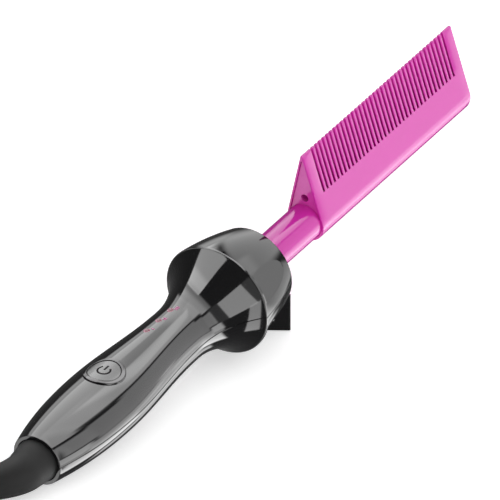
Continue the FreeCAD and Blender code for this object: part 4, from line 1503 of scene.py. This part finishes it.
@dataclass
class ShellHalf:
    """One shell of the handle: outer skin, inner skin and the edges that join them, in mm.

    A run of rows is given by its first and last station and its number of rows, and the columns
    by the number of cells between one parting edge, the facets' edges and the other.
    """

    skin: HandleSkin
    half: Half
    wall: float = 2.0
    opening_radius: float = 10.2
    opening_end: float = -121.0
    opening_face: float = 11.0
    rear_chamfer: float = 0.35
    neck_radius: float = 11.05
    front_wall: float = 2.5
    edge_radius: float = 1.2
    body_rows: tuple[tuple[float, float, int], ...] = (
        (-132.7, -93.6, 34), (-93.1, -73.3, 42), (-72.2, -30.6, 38), (-29.6, -1.6, 32),
    )
    facet_rows: tuple[float, float, int] = (1.3, 24.3, 47)
    facet_tip: float = 1.6
    facet_reach: float = 80.0
    cells: tuple[int, ...] = (9, 16, 44, 16, 9)
    parting_width: float = 0.26
    parting_depth: float = 0.42
    parting_step: float = 0.4
    parting_middle: float = 0.45
    crisp: float = 9.5
    foot_top: float = 9.0
    foot_top_half: float = 18.4
    foot_bottom_half: float = 15.1
    foot_drop: float = 29.1
    foot_lean: float = 2.5
    foot_side: float = 0.8
    foot_slope: float = 0.70
    foot_edge: float = 0.45
    foot_side_edge: float = 0.25
    foot_apex_edge: float = 0.6
    foot_clearance: float = 0.002
    bezel_hole: float = 8.45
    button_station: float = -83.2
    screw_places: tuple[tuple[float, float], ...] = ((-96.6, 0.0), (12.0, 17.0), (12.0, -17.0))
    screw_bore: float = 2.8
    screw_depth: float = 5.0
    foot_last: float = 1.7
    foot_layers: tuple[float, ...] = (0.9, 0.5, 0.25, 0.1, 0.0)
    foot_insets: tuple[float, ...] = (0.0, 0.03, 0.12, 0.28, 0.5)
    foot_clear_depth: float = 24.0
    lip_setbacks: tuple[float, ...] = (0.2, 0.1, 0.02, 0.0, 0.0)
    beyond_facets: tuple[float, ...] = (25.0, 25.7, 26.3, 26.9)
    lean_stations: tuple[float, float] = (27.2, 27.3)
    face_radii: tuple[float, float] = (16.0, 13.5)

    def rows(self) -> tuple[Array, Array, Array, Array, Array]:
        """Stations of the skin from the rear opening to the front opening.

        The rear edge and the drum's front edge are quarter circles, the rim has a small lip.

        Returns:
            Station, half width, half height, facet share (0 or 1) and the angle either side of
            a facet's middle at which its edge columns lie, one entry a row.
        """
        skin, chamfer = self.skin, self.rear_chamfer
        turn = np.linspace(0, math.pi / 2, 5)
        start = skin.half_width(np.array([chamfer - skin.length]))[0] - chamfer
        rear_x = np.concatenate([[0, 0], chamfer * (1 - np.cos(turn))]) - skin.length
        rear_r = [self.opening_radius, self.opening_face, *(start + chamfer * np.sin(turn))]
        body = np.concatenate([
            *(np.linspace(*run) for run in self.body_rows),
            [-1.15, -skin.rim_land - 0.14, -skin.rim_land],
        ])
        lip = np.array([0.0, 0.0, 0.07, 0.2, skin.rim_land - 0.2]) - skin.rim_land
        lip_r = skin.rim_radius - np.array(self.lip_setbacks)
        plain = np.array([0.0, 0.25, 0.5, skin.rim_land])
        facet = np.concatenate([[skin.rim_land], np.linspace(*self.facet_rows)])
        beyond = np.array(self.beyond_facets)
        near_edge = np.array(self.lean_stations)
        lean = math.atan(-np.diff(skin.drum(near_edge))[0] / 0.1)
        arc = np.linspace(lean, math.pi / 2, 10)
        arc_x = skin.drum_length - self.edge_radius
        on_drum = skin.drum(arc_x + self.edge_radius * math.sin(lean))
        front_r = on_drum + self.edge_radius * (np.cos(arc) - math.cos(lean))
        face_r = [*self.face_radii, self.neck_radius]
        drum = [skin.drum(np.concatenate([plain, facet, beyond])), front_r, face_r]
        station = np.concatenate([
            rear_x, body, lip, plain, facet, beyond, arc_x + self.edge_radius * np.sin(arc),
            np.full(len(face_r), skin.drum_length),
        ])
        width = np.concatenate([rear_r, skin.half_width(body), lip_r, *drum])
        height = np.concatenate([rear_r, skin.half_height(body), lip_r, *drum])
        before = len(rear_x) + len(body) + len(lip) + len(plain)
        after = len(station) - before - len(facet)
        faceted = np.pad(np.ones(len(facet)), (before, after))
        ratio = np.clip(skin.facet_plane(facet) / skin.drum(facet), -1, 1)
        edge = np.degrees(np.arccos(ratio))
        spread = np.pad(
            np.maximum(edge, self.facet_tip), (before, after),
            constant_values=(edge[0], self.facet_tip),
        )
        return station, width, height, faceted, spread

    def turns(self, height: Array, spread: Array) -> Array:
        """Angles of the columns, a row at a time, from one parting edge to the other.

        The first and last columns keep fixed heights above the parting plane, so that they form
        its groove; the facets' edges are columns too, and the rest are evenly spaced between.

        Args:
            height: half height of each row.
            spread: angle either side of a facet's middle at which its edges lie, by row.

        Returns:
            Array (rows, cols) in radians, from 0 to pi.
        """
        lip = np.degrees(np.arcsin(np.clip(self.parting_width / height, 0, 1)))
        centre = self.skin.facet_centre
        keys = [lip, centre - spread, centre + spread]
        keys += [180 - key for key in reversed(keys)]
        start = np.stack([0 * lip, lip * self.parting_middle], axis=-1)
        blocks = [start]
        for count, first, last in zip(self.cells, keys, keys[1:]):
            share = np.arange(count) / count
            blocks.append(first[:, None] + (last - first)[:, None] * share)
        blocks += [180 - lip[:, None], 180 - start[:, ::-1]]
        return np.radians(np.hstack(blocks))

    def outer(self) -> Array:
        """The outer skin: station, half width times cosine and half height times sine.

        In a facet the radius is the lesser of the drum's and the facet plane's distance over the
        cosine of the angle from its middle. Near the parting plane the skin sinks into a groove.

        Returns:
            Array (rows, cols, 3).
        """
        station, width, height, faceted, spread = self.rows()
        turn = self.turns(height, spread)
        drum = np.broadcast_to(width[:, None], turn.shape)
        from_side = 90 - np.abs(np.degrees(turn) - 90)
        off = np.minimum(np.abs(from_side - self.skin.facet_centre), self.facet_reach)
        flat = self.skin.facet_plane(station)[:, None] / np.cos(np.radians(off))
        cut = np.where(faceted[:, None] > 0, np.minimum(drum, flat), drum)
        sink = np.zeros(turn.shape[1])
        sink[[0, -1]] = self.parting_depth
        sink[[1, -2]] = self.parting_depth * self.parting_step
        scale = (cut - sink) / drum
        return self.oval(station, width, height, turn, scale)

    def oval(
        self, station: Array, width: Array, height: Array, turn: Array,
        scale: float | Array = 1.0,
    ) -> Array:
        """Half an oval in each row: half width times cosine and half height times sine.

        Args:
            station: station of each row.
            width: half width of each row.
            height: half height of each row.
            turn: angle of each point.
            scale: what each point's distance from the axis is multiplied by.

        Returns:
            Array (rows, cols, 3), above the parting plane or below it.
        """
        x = np.broadcast_to(station[:, None], turn.shape)
        y = width[:, None] * np.cos(turn) * scale
        z = height[:, None] * np.sin(turn) * scale * self.half.value
        return np.stack([x, y, z], axis=-1)

    def inner(self) -> Array:
        """The inner skin, one wall inside the outer one, on the same rows and columns.

        Returns:
            Array (rows, cols, 3).
        """
        station, width, height, _, spread = self.rows()
        in_opening = station < self.opening_end
        in_width = np.where(in_opening, self.opening_radius, width - self.wall)
        in_height = np.where(in_opening, self.opening_radius, height - self.wall)
        on_face = station > self.skin.drum_length - 1e-6
        in_width = np.where(on_face, np.minimum(in_width, width), in_width)
        in_width[-1] = self.neck_radius
        in_height = np.where(on_face, in_width, in_height)
        in_station = np.minimum(station, self.skin.drum_length - self.front_wall)
        return self.oval(in_station, in_width, in_height, self.turns(height, spread))

    def low(self, x: Array, y: Array) -> Array:
        """Height of the lower skin: the oval, or the drum and its facets.

        Args:
            x: stations.
            y: places to the left, like x.

        Returns:
            Array like x.
        """
        drum = self.skin.drum(np.maximum(x, 0.0))
        round_side = -np.sqrt(np.maximum(drum ** 2 - y ** 2, 0.0))
        angle = math.radians(self.skin.facet_centre)
        flat_side = (np.abs(y) * math.cos(angle) - self.skin.facet_plane(x)) / math.sin(angle)
        return np.where(x > 0, np.maximum(round_side, flat_side), -self.skin.top(x, y))

    def open_round(
        self, grid: Array, centre: tuple[float, float], radius: float, follow: bool = True
    ) -> Array:
        """Opens a round hole in a skin by moving the nearest points on to its edge.

        Points inside the circle move straight out to it; quads wholly inside are dropped.

        Args:
            grid: the skin's points, changed in place.
            centre: plan point of the hole's axis.
            radius: radius of the hole.
            follow: True where moved points take the outer skin's height.

        Returns:
            Mask (rows - 1, cols - 1) of the quads that stay.
        """
        plan = grid[..., :2] - np.array(centre)
        distance = np.linalg.norm(plan, axis=-1)
        inside = distance < radius
        stays = ~(inside[:-1, :-1] & inside[1:, :-1] & inside[1:, 1:] & inside[:-1, 1:])
        used = np.zeros(inside.shape, dtype=bool)
        for rows in (slice(None, -1), slice(1, None)):
            for cols in (slice(None, -1), slice(1, None)):
                used[rows, cols] |= stays
        moved = inside & used
        grid[moved, :2] = np.array(centre) + plan[moved] * (radius / distance[moved])[:, None]
        if follow:
            height = self.skin.top if self.half is Half.TOP else self.low
            grid[moved, 2] = height(grid[moved, 0], grid[moved, 1])
        return stays

    def foot(self, shape: Shape) -> None:
        """Adds the foot: an outline with eased corners, drawn down from the drum to the floor.

        The outline's half width and front move evenly with depth; its last layers keep their
        distance from the floor's plane, with an eased lower edge, and a fan closes it.

        Args:
            shape: the shell, which the foot is added to.
        """
        straight = np.linspace(self.foot_top, self.foot_drop - self.foot_last, 24)
        depth = np.concatenate([straight, self.foot_drop - np.array(self.foot_layers)])
        inset = np.concatenate([np.zeros(len(straight)), self.foot_insets])
        layers = []
        for share, ease in zip(depth / self.foot_drop, inset):
            half = self.foot_top_half + (self.foot_bottom_half - self.foot_top_half) * share - ease
            front = self.skin.drum_length + self.foot_lean * share - ease
            side = front - self.foot_side + ease * 0.6
            apex = side - self.foot_slope * half + ease
            layers.append(fillet_line([
                (front, half, self.foot_edge), (front, -half, self.foot_edge),
                (side, -half, self.foot_side_edge), (apex, 0.0, self.foot_apex_edge),
                (side, half, self.foot_side_edge),
            ], steps=5, closed=True))
        outline = np.stack(layers)
        floor = STAND.floor_height(outline[..., 0]) + self.foot_clearance
        depth = depth[:, None]
        above = floor + (self.foot_drop - depth) * 0.9
        level = np.where(depth > self.foot_clear_depth, np.maximum(-depth, above), -depth)
        shape.add_tube(np.concatenate([outline, level[..., None]], axis=-1))

    def build(self) -> Piece:
        """Makes the shell: two skins, their edges, its openings and, below, the foot.

        Returns:
            The shell.
        """
        outer, inner = self.outer(), self.inner()
        keep = np.ones((outer.shape[0] - 1, outer.shape[1] - 1), dtype=bool)
        keep_inner = keep.copy()
        shape = Shape()
        if self.half is Half.TOP:
            places, radius = ((self.button_station, 0.0),), self.bezel_hole
            keep_inner = self.open_round(inner, places[0], radius, follow=False)
        else:
            places, radius = self.screw_places, self.screw_bore
        for place in places:
            keep &= self.open_round(outer, place, radius)
        shape.add_grid(outer, keep=keep)
        shape.add_grid(inner, keep=keep_inner)
        for index in (0, -1):
            shape.add_strip(outer[index], inner[index])
            shape.add_strip(outer[:, index], inner[:, index])
        if self.half is Half.BOTTOM:
            self.foot(shape)
        name = f"handle_{'top' if self.half is Half.TOP else 'bottom'}"
        piece = mesh_object(f"{name}_skin", shape, self.crisp)
        self.close_holes(piece.data, places, radius)
        return dress(piece, GLOSS_BLACK, BODY_HANDLE, (f"{name}_shell",))

    def seat(self, place: tuple[float, float]) -> float:
        """Height at which a screw's head bears, a set depth above the lower skin.

        Args:
            place: plan point of the screw.

        Returns:
            The height in mm.
        """
        x, y = place
        if x < 0:
            return self.screw_depth - float(self.skin.half_height(np.array(x)))
        return self.screw_depth - math.sqrt(self.skin.drum_cone(x) ** 2 - y ** 2)

    def close_holes(
        self, mesh: bpy.types.Mesh, places: tuple[tuple[float, float], ...], radius: float
    ) -> None:
        """Joins each hole's edges: above to the inner skin, below to a pocket's flat bottom.

        A pocket's wall goes straight up from the hole's edge to the seat of its screw.

        Args:
            mesh: the shell's mesh, with open round edges.
            places: plan centres of the holes.
            radius: their radius.
        """
        work = bmesh.new()
        work.from_mesh(mesh)
        for place in places:
            rim: dict[bmesh.types.BMVert, Array] = {}
            edges = []
            for edge in work.edges:
                spots = {vert: STAND.tool_frame(vert.co) for vert in edge.verts}
                middle = sum(spots.values())[:2] / 2 - place
                if edge.is_boundary and np.linalg.norm(middle) < radius + HOLE_MARGIN:
                    edges.append(edge)
                    rim |= spots
            if self.half is Half.TOP:
                bmesh.ops.bridge_loops(work, edges=edges)
                continue
            wall = sorted(rim, key=lambda vert: math.atan2(*(rim[vert][:2] - place)[::-1]))
            low = []
            for vert in wall:
                spot = np.array([*rim[vert][:2], self.seat(place)])
                low.append(work.verts.new(STAND.place(spot) * MILLIMETRE))
            for index in range(len(wall)):
                work.faces.new((wall[index - 1], wall[index], low[index], low[index - 1]))
            work.faces.new(low)
        bmesh.ops.recalc_face_normals(work, faces=work.faces)
        work.to_mesh(mesh)
        work.free()
        smooth(mesh, self.crisp)


@dataclass
class Controls:
    """The power button with its raised ring and mark, and the three indicator lenses, in mm.

    A rise or lift is a height over the handle's skin.
    """

    skin: HandleSkin
    station: float = -83.2
    button_radius: float = 7.2
    button_rise: float = 0.45
    skirt_inner: float = 6.1
    skirt_depth: float = 4.4
    cap_depth: float = 2.4
    bore_radius: float = 7.35
    ring_radius: float = 9.2
    ring_rise: float = 0.7
    sleeve_radius: float = 8.4
    sleeve_depth: float = 4.6
    mark_radius: float = 2.75
    mark_width: float = 0.85
    mark_gap: float = 42.0
    mark_bar: tuple[float, float] = (0.2, 3.5)
    lens_places: tuple[float, ...] = (-49.1, -40.3, -31.4)
    lens_side: float = 1.7
    lens_radius: float = 1.5
    lens_rise: float = 0.24
    bar_offset: float = 2.3
    bar_pitch: float = 0.85
    bar_ends: tuple[float, float] = (1.0, -0.6)
    bar_width: float = 0.5
    bar_lift: float = 0.05
    bar_section: tuple[tuple[float, float], ...] = (
        (-0.5, -0.25), (-0.5, 0.03), (0.0, 0.035), (0.5, 0.03), (0.5, -0.25),
    )
    ring_root: float = -0.4
    ring_edge: float = 0.42
    bore_edge: float = 0.2
    button_edge: float = 0.3
    button_margin: float = 0.45

    def on_skin(self, profile: Array, segments: int) -> Array:
        """A profile of (radius, lift) pairs round the button's axis, laid over the skin.

        The plan point is the radius times cosine and sine of the turn, and the height is that of
        the skin grown by the lift.

        Args:
            profile: array (n, 2).
            segments: divisions of the full turn.

        Returns:
            Array (n, segments, 3).
        """
        grid = upright_turned(profile, (self.station, 0.0), segments)
        grid[..., 2] = self.skin.top(*np.moveaxis(grid, -1, 0))
        return grid

    def ribbon(self, shape: Shape, line: Array, width: float, lift: float) -> None:
        """Adds a thin raised strip along a plan line, laid over the skin, with square ends.

        The line is moved to both sides by half the width along its own normal.

        Args:
            shape: what the strip is added to.
            line: array (n, 2) of plan points.
            width: the strip's width.
            lift: its height over the skin.
        """
        run = np.gradient(line, axis=0)
        normal = unit(np.stack([-run[:, 1], run[:, 0]], axis=-1))
        section = np.array(self.bar_section)
        plan = line[:, None] + normal[:, None] * section[None, :, :1] * width
        height = self.skin.top(plan[..., 0], plan[..., 1], lift + section[None, :, 1])
        shape.add_tube(np.concatenate([plan, height[..., None]], axis=-1))

    def build_ring(self) -> None:
        """The raised ring round the button, eased at its edges, on a sleeve through the shell."""
        profile = fillet_line([
            (self.ring_radius, self.ring_root, 0), (self.ring_radius, self.ring_rise, self.ring_edge),
            (self.bore_radius, self.ring_rise, self.bore_edge), (self.bore_radius, -self.sleeve_depth, 0),
            (self.sleeve_radius, -self.sleeve_depth, 0), (self.sleeve_radius, self.ring_root, 0),
        ], steps=6, closed=True)
        shape = Shape()
        shape.add_grid(self.on_skin(profile, 160), closed_rows=True, closed_cols=True)
        ring = mesh_object("button_ring", shape, crisp=40)
        dress(ring, GLOSS_BLACK, BODY_HANDLE, ("button_bezel",))

    def build_button(self) -> None:
        """The button's cap: it follows the skin, with an eased edge and a hollow skirt below."""
        profile = fillet_line([
            (0.0, self.button_rise, 0), (self.button_radius, self.button_rise, self.button_edge),
            (self.button_radius, -self.skirt_depth, 0), (self.skirt_inner, -self.skirt_depth, 0),
            (self.skirt_inner, -self.cap_depth, 0), (0.0, -self.cap_depth, 0),
        ], steps=6)
        radius = np.linspace(0, self.button_radius - self.button_margin, 14)
        top = np.stack([radius, np.full(len(radius), self.button_rise)], axis=-1)
        shape = Shape()
        shape.add_grid(self.on_skin(np.vstack([top, profile[1:]]), 144), closed_cols=True)
        button = mesh_object("power_button_cap", shape, crisp=40)
        dress(button, BUTTON_BLACK, BODY_BUTTON, ("power_button",))

    def build_mark(self) -> None:
        """The on and off mark: an open ring with a bar in its gap, which faces the comb."""
        turn = np.radians(np.linspace(self.mark_gap, 360 - self.mark_gap, 60))
        arc = self.mark_radius * np.stack([np.cos(turn), np.sin(turn)], axis=-1)
        bar = np.stack([np.linspace(*self.mark_bar, 12), np.zeros(12)], axis=-1)
        shape = Shape()
        for line in (arc, bar):
            self.ribbon(shape, line + [self.station, 0.0], self.mark_width, self.button_rise)
        mark = mesh_object("power_mark", shape, crisp=40)
        dress(mark, INK_BLACK, BODY_BUTTON)

    def build_lenses(self) -> None:
        """Three low domes over the lamps: a cosine of the distance from the middle, and a stem."""
        shape = Shape()
        radius = np.concatenate([np.linspace(0, self.lens_radius, 12), [self.lens_radius] * 2])
        share = radius / self.lens_radius
        rise = self.lens_rise * np.cos(share * math.pi / 2) + 0.01
        rise[-2:] = [-0.5, -2.4]
        for place in self.lens_places:
            height = self.skin.top(np.array(place), np.array(self.lens_side))
            profile = np.stack([radius, rise + height], axis=-1)
            grid = upright_turned(profile, (place, self.lens_side), 40)
            shade = np.broadcast_to(share[:, None], grid.shape[:2])
            shape.add_grid(grid, closed_cols=True, shade=shade)
            shape.add_cap(grid[-1])
        lenses = mesh_object("indicator_domes", shape, crisp=40)
        dress(lenses, LENS_PINK, BODY_HANDLE, ("indicator_lenses",))

    def build_level_bars(self) -> None:
        """Plain printed bars beside the lenses: one, two and three strokes."""
        shape = Shape()
        for count, place in enumerate(self.lens_places, 1):
            for index in range(count):
                x = place + self.bar_offset + (index - (count - 1) / 2) * self.bar_pitch
                line = np.stack([np.full(8, x), np.linspace(*self.bar_ends, 8)], axis=-1)
                self.ribbon(shape, line, self.bar_width, self.bar_lift)
        bars = mesh_object("level_bars", shape, crisp=40)
        dress(bars, INK_PINK, BODY_HANDLE)

    def build(self) -> None:
        """Makes the ring, the button, its mark, the lenses and the bars."""
        self.build_ring()
        self.build_button()
        self.build_mark()
        self.build_lenses()
        self.build_level_bars()


# ---------------------------------------------------------------- stem, collar and comb


@dataclass
class StemSet:
    """The stem, the collar round it and the screws that join the shells, in mm."""

    shell: ShellHalf
    stem_radius: float = 8.2
    stem_wall: float = 1.2
    stem_tail: float = -6.0
    stem_end: float = 81.9
    stem_edge: float = 0.4
    collar_gap: float = 0.05
    collar_radius: float = 13.0
    collar_neck: float = 11.0
    collar_flange: float = 1.5
    head_radius: float = 2.5
    head_height: float = 1.8
    head_dome: float = 0.35
    recess_radius: float = 1.5
    recess_depth: float = 0.8
    recess_half_width: float = 0.5
    shank_radius: float = 1.3
    shank_tip: float = 6.0
    collar_edges: tuple[float, float, float] = (0.3, 0.5, 0.15)
    bore_bevel: float = 0.4
    head_flat: tuple[float, float] = (2.2, 2.4)
    channel_ramp: float = 0.22
    recess_ramp: float = 0.3
    tip_bevel: float = 0.8
    tip_flat: float = 0.4

    def build_stem(self) -> None:
        """The enamelled tube: a long rectangle turned about the axis, its outer ends bevelled."""
        edge, inner = self.stem_edge, self.stem_radius - self.stem_wall
        rows = np.linspace(self.stem_tail + edge, self.stem_end - edge, 24)
        outside = np.stack([rows, np.full(len(rows), self.stem_radius)], axis=-1)
        ends = [
            (self.stem_end, self.stem_radius - edge), (self.stem_end, inner),
            (self.stem_tail, inner), (self.stem_tail, self.stem_radius - edge),
        ]
        shape = Shape()
        grid = turned(np.vstack([outside, ends]), 128)
        shape.add_grid(grid, closed_rows=True, closed_cols=True)
        stem = mesh_object("stem_skin", shape, crisp=30)
        dress(stem, PINK_ENAMEL, BODY_HANDLE, ("stem_tube",))

    def build_collar(self) -> None:
        """The collar: a grooved ring turned about the axis, with eased outer edges."""
        front = self.shell.skin.drum_length
        rear = front - self.shell.front_wall
        rear_face, front_face = rear - self.collar_flange, front + self.collar_flange
        bore = self.stem_radius + self.collar_gap
        profile = fillet_line([
            (rear_face, bore, 0), (rear_face, self.collar_radius, self.collar_edges[0]),
            (rear, self.collar_radius, 0), (rear, self.collar_neck, 0), (front, self.collar_neck, 0),
            (front, self.collar_radius, 0), (front_face, self.collar_radius, self.collar_edges[1]),
            (front_face, bore + self.bore_bevel, self.collar_edges[2]),
            (front_face - self.bore_bevel, bore, 0),
        ], steps=6, closed=True)
        shape = Shape()
        shape.add_grid(turned(profile, 144), closed_rows=True, closed_cols=True)
        collar = mesh_object("collar_ring", shape, crisp=32)
        dress(collar, SATIN_BLACK, BODY_HANDLE, ("bell_front_collar",))

    def build_screws(self) -> None:
        """Three screws: a domed head whose cross recess is two crossed smooth channels.

        The head's height is lowered by the greater of two channel depths, each a ramp of the
        distance from its centre line, inside the recess's radius.
        """
        shape = Shape()
        rim = [self.head_flat[1], self.head_radius, self.head_radius]
        radius = np.concatenate([np.linspace(0, self.head_flat[0], 23), rim])[:, None]
        x, y = radius * np.cos(full_turn(96)), radius * np.sin(full_turn(96))
        off_line = np.minimum(np.abs(x), np.abs(y))
        channel = smoothstep((self.recess_half_width - off_line) / self.channel_ramp)
        inside = smoothstep((self.recess_radius - radius) / self.recess_ramp)
        recess = self.recess_depth * channel * inside
        dome = self.head_dome * (radius / self.head_radius) ** 2
        dome[-1] = self.head_height
        tip = self.shank_tip
        for place in self.shell.screw_places:
            seat = self.shell.seat(place)
            z = seat - self.head_height + dome + recess
            head = np.stack([place[0] + x, place[1] + y, z], axis=-1)
            shape.add_grid(head, closed_cols=True)
            shank = np.array([
                (self.head_radius, seat), (self.shank_radius, seat),
                (self.shank_radius, tip - self.tip_bevel), (self.tip_flat, tip), (0.0, tip),
            ])
            shape.add_grid(upright_turned(shank, place, 96), closed_cols=True)
        screws = mesh_object("joining_screws", shape, crisp=35)
        dress(screws, SCREW_STEEL, BODY_HANDLE, ("shell_screws",))

    def build(self) -> None:
        """Makes the stem, the collar and the screws."""
        self.build_stem()
        self.build_collar()
        self.build_screws()


@dataclass
class CombHead:
    """The heated comb head with its teeth, end lips and the seats of its end plates, in mm."""

    start: float = 65.9
    length: float = 114.0
    base_radius: float = 9.24
    tip_radius: float = 0.8
    height: float = 33.6
    slots: int = 37
    slot_width: float = 1.2
    slot_floor: float = 13.4
    floor_fade: float = 0.8
    margin: float = 6.4
    lip: float = 1.0
    lip_edge: float = 0.12
    seat_rim: float = 0.6
    seat_depth: float = 1.7
    tooth_edge: float = 0.24
    end_edge: float = 0.45
    hole_radius: float = 1.8
    hole_height: float = 11.8
    hole_depth: float = 7.0
    side_points: int = 9
    base_points: int = 63
    wall_points: int = 15
    tip_points: int = 9

    def outline(self, inset: float | Array) -> Array:
        """The head's section: a round base, two straight flanks and a small round tip.

        Moved inwards by inset, the base and tip radii shrink by it and the flanks stay tangent
        to both. The lower part runs from one side of the slot floor round the base to the
        other, the upper part from there over the tip and back.

        Args:
            inset: distance that the section is moved in, by row.

        Returns:
            Array (rows, points, 2) of (y, z).
        """
        inset = np.atleast_1d(inset).astype(float)[:, None]
        tip_z = self.height - self.tip_radius
        lean = math.asin((self.base_radius - self.tip_radius) / tip_z)
        base = self.base_radius - inset
        tip = np.maximum(self.tip_radius - inset, 0.02)
        flank = np.stack([base * math.cos(lean), base * math.sin(lean)], axis=-1)
        end = np.stack([tip * math.cos(lean), tip_z + tip * math.sin(lean)], axis=-1)
        split = (self.slot_floor - flank[..., 1:]) / (end - flank)[..., 1:]
        side = flank + (end - flank) * split * np.linspace(1, 0, self.side_points)[None, :, None]
        turn = np.linspace(lean, -math.pi - lean, self.base_points + 2)[None, 1:-1]
        bottom = np.stack([base * np.cos(turn), base * np.sin(turn)], axis=-1)
        share = np.linspace(0, 1, self.wall_points)[None, 1:, None]
        wall = flank + (end - flank) * (split + (1 - split) * share)
        over = np.linspace(math.pi - lean, lean, self.tip_points + 2)[None, 1:-1]
        crest = np.stack([tip * np.cos(over), tip_z + tip * np.sin(over)], axis=-1)
        mirrored = [-1.0, 1.0]
        lower = [side, bottom, side[:, ::-1] * mirrored]
        return np.concatenate([*lower, wall * mirrored, crest, wall[:, ::-1]], axis=1)

    def stations(self) -> tuple[Array, Array, Array]:
        """Rows along the head: the eased ends of the teeth and the slots between them.

        Returns:
            Station, inset of the tooth and whether the row is in a slot, one entry a row.
        """
        edge = self.tooth_edge
        turn = np.linspace(0, math.pi / 2, 4)
        pitch = (self.length - 2 * self.margin - self.slot_width) / (self.slots - 1)
        slot = self.start + self.margin + pitch * np.arange(self.slots)
        end_x, end_inset = edge * np.sin(turn) - edge, edge * (1 - np.cos(turn))
        offset = np.concatenate([end_x, [0.0, self.slot_width], self.slot_width - end_x[::-1]])
        inset = np.concatenate([end_inset, [0.0, 0.0], end_inset[::-1]])
        in_slot = np.repeat([False, True, False], [4, 2, 4])
        station = (slot[:, None] + offset).ravel()
        return station, np.tile(inset, self.slots), np.tile(in_slot, self.slots)

    def build(self) -> None:
        """Carries the head's section along the axis.

        In a slot the upper part of the section lies flat at the slot floor. Beside a slot the
        tooth's section is moved in along a quarter circle, so that its edges are eased. At each
        end an eased lip surrounds a sunk seat for the plate.
        """
        station, inset, in_slot = self.stations()
        plain = self.outline(0.0)[0]
        upper = np.arange(len(plain)) >= 2 * self.side_points + self.base_points
        fade = smoothstep((plain[:, 1] - self.slot_floor) / self.floor_fade)[None, :, None]
        tooth = plain + (self.outline(inset) - plain) * fade
        first, last = plain[0, 0], plain[~upper][-1, 0]
        flat = plain.copy()
        flat[upper, 0] = np.linspace(last, first, upper.sum() + 2)[1:-1]
        flat[upper, 1] = self.slot_floor
        section = np.where(in_slot[:, None, None], flat, tooth)
        turn = np.linspace(math.pi / 2, 0, 5)
        lead, ease = self.end_edge * (1 - np.sin(turn)), self.end_edge * (1 - np.cos(turn))
        lip, seat = self.lip, self.seat_depth
        sunk_in = [lip + self.seat_rim, lip, lip, lip - self.lip_edge, self.end_edge]
        rear_x = self.start + np.concatenate([[seat, seat, self.lip_edge, 0.0, 0.0], lead])
        rear = self.end_outline(np.concatenate([sunk_in, ease]))
        front_x = 2 * self.start + self.length - rear_x[::-1]
        rows_x = np.concatenate([rear_x, station, front_x])
        rows = np.concatenate([rear, section, rear[::-1]])
        x = np.broadcast_to(rows_x[:, None, None], rows.shape[:2] + (1,))
        grid = np.concatenate([x, rows], axis=-1)
        # Painted shade: the upper points of the slot rows get shade 1, so each slot wall darkens towards
        # its floor.
        painted_slot_shade = np.zeros(grid.shape[:2])
        painted_slot_shade[len(rear_x):-len(front_x)] = in_slot[:, None] & upper
        shape = Shape()
        shape.add_grid(grid, closed_cols=True, shade=painted_slot_shade)
        self.sink_hole(shape, grid[0])
        self.close_end(shape, grid[-1])
        head = mesh_object("comb_head_skin", shape, crisp=34)
        dress(head, PINK_SHADED_SLOTS, BODY_HANDLE, ("comb_head",))

    def end_outline(self, inset: Array) -> Array:
        """The section at an end, moved in; past the lip its top is cut flat three lips down.

        Args:
            inset: distance that the section is moved in, by row.

        Returns:
            Array (rows, points, 2) of (y, z).
        """
        rows = self.outline(inset)
        below = 3.0 * np.minimum(inset, self.lip) + (inset - self.lip).clip(0)
        top = self.height - np.where(inset < self.lip - 0.2, inset, below)
        rows[..., 1] = np.minimum(rows[..., 1], top[:, None])
        return rows

    def close_end(self, shape: Shape, loop: Array) -> None:
        """Closes a tall section with rungs between its two sides.

        The loop's first half is joined to its second half point by point, so the end is flat.

        Args:
            shape: what the end is added to.
            loop: array (n, 3), the section's edge.
        """
        middle = self.side_points + self.base_points // 2
        order = np.roll(loop, -middle, axis=0)
        half = len(loop) // 2
        shape.add_strip(order[:half], order[::-1][:half])

    def sink_hole(self, shape: Shape, loop: Array) -> None:
        """Closes the rear seat with a face that runs in to a round blind hole.

        Each point of the inner edge is the hole's centre plus its radius along the line to the
        loop's point; the hole's wall is that edge moved inwards along the axis.

        Args:
            shape: what the face is added to.
            loop: array (n, 3), the seat's edge.
        """
        centre = np.array([loop[0, 0], 0.0, self.hole_height])
        edge = centre + self.hole_radius * unit(loop - centre)
        bottom = edge + [self.hole_depth, 0.0, 0.0]
        shape.add_strip(loop, edge, closed=True)
        shape.add_strip(edge, bottom, closed=True)
        shape.add_cap(bottom)


# ---------------------------------------------------------------- the rest


def dress_nodes() -> None:
    """Gives every CAD node that stays its own finish, in every slot of its mesh."""
    for finish, names in NODE_FINISHES.items():
        for name in names:
            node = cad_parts[name]
            if not node.material_slots:
                node.data.materials.append(None)
            for place in node.material_slots:
                place.material = finish.material()
            log.info("%s: %s", name, finish.name)


def main() -> None:
    """Builds the scene in order and reports each piece."""
    logging.basicConfig(level=logging.INFO, format="%(name)s %(message)s")
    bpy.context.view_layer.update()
    studio = Studio()
    studio.build_camera()
    CordSet().build()
    skin = HandleSkin()
    ShellHalf(skin, Half.TOP).build()
    bottom = ShellHalf(skin, Half.BOTTOM)
    bottom.build()
    Controls(skin).build()
    StemSet(bottom).build()
    CombHead().build()
    dress_nodes()
    studio.build_lights()
    studio.build_floor()


if __name__ == "__main__":
    main()
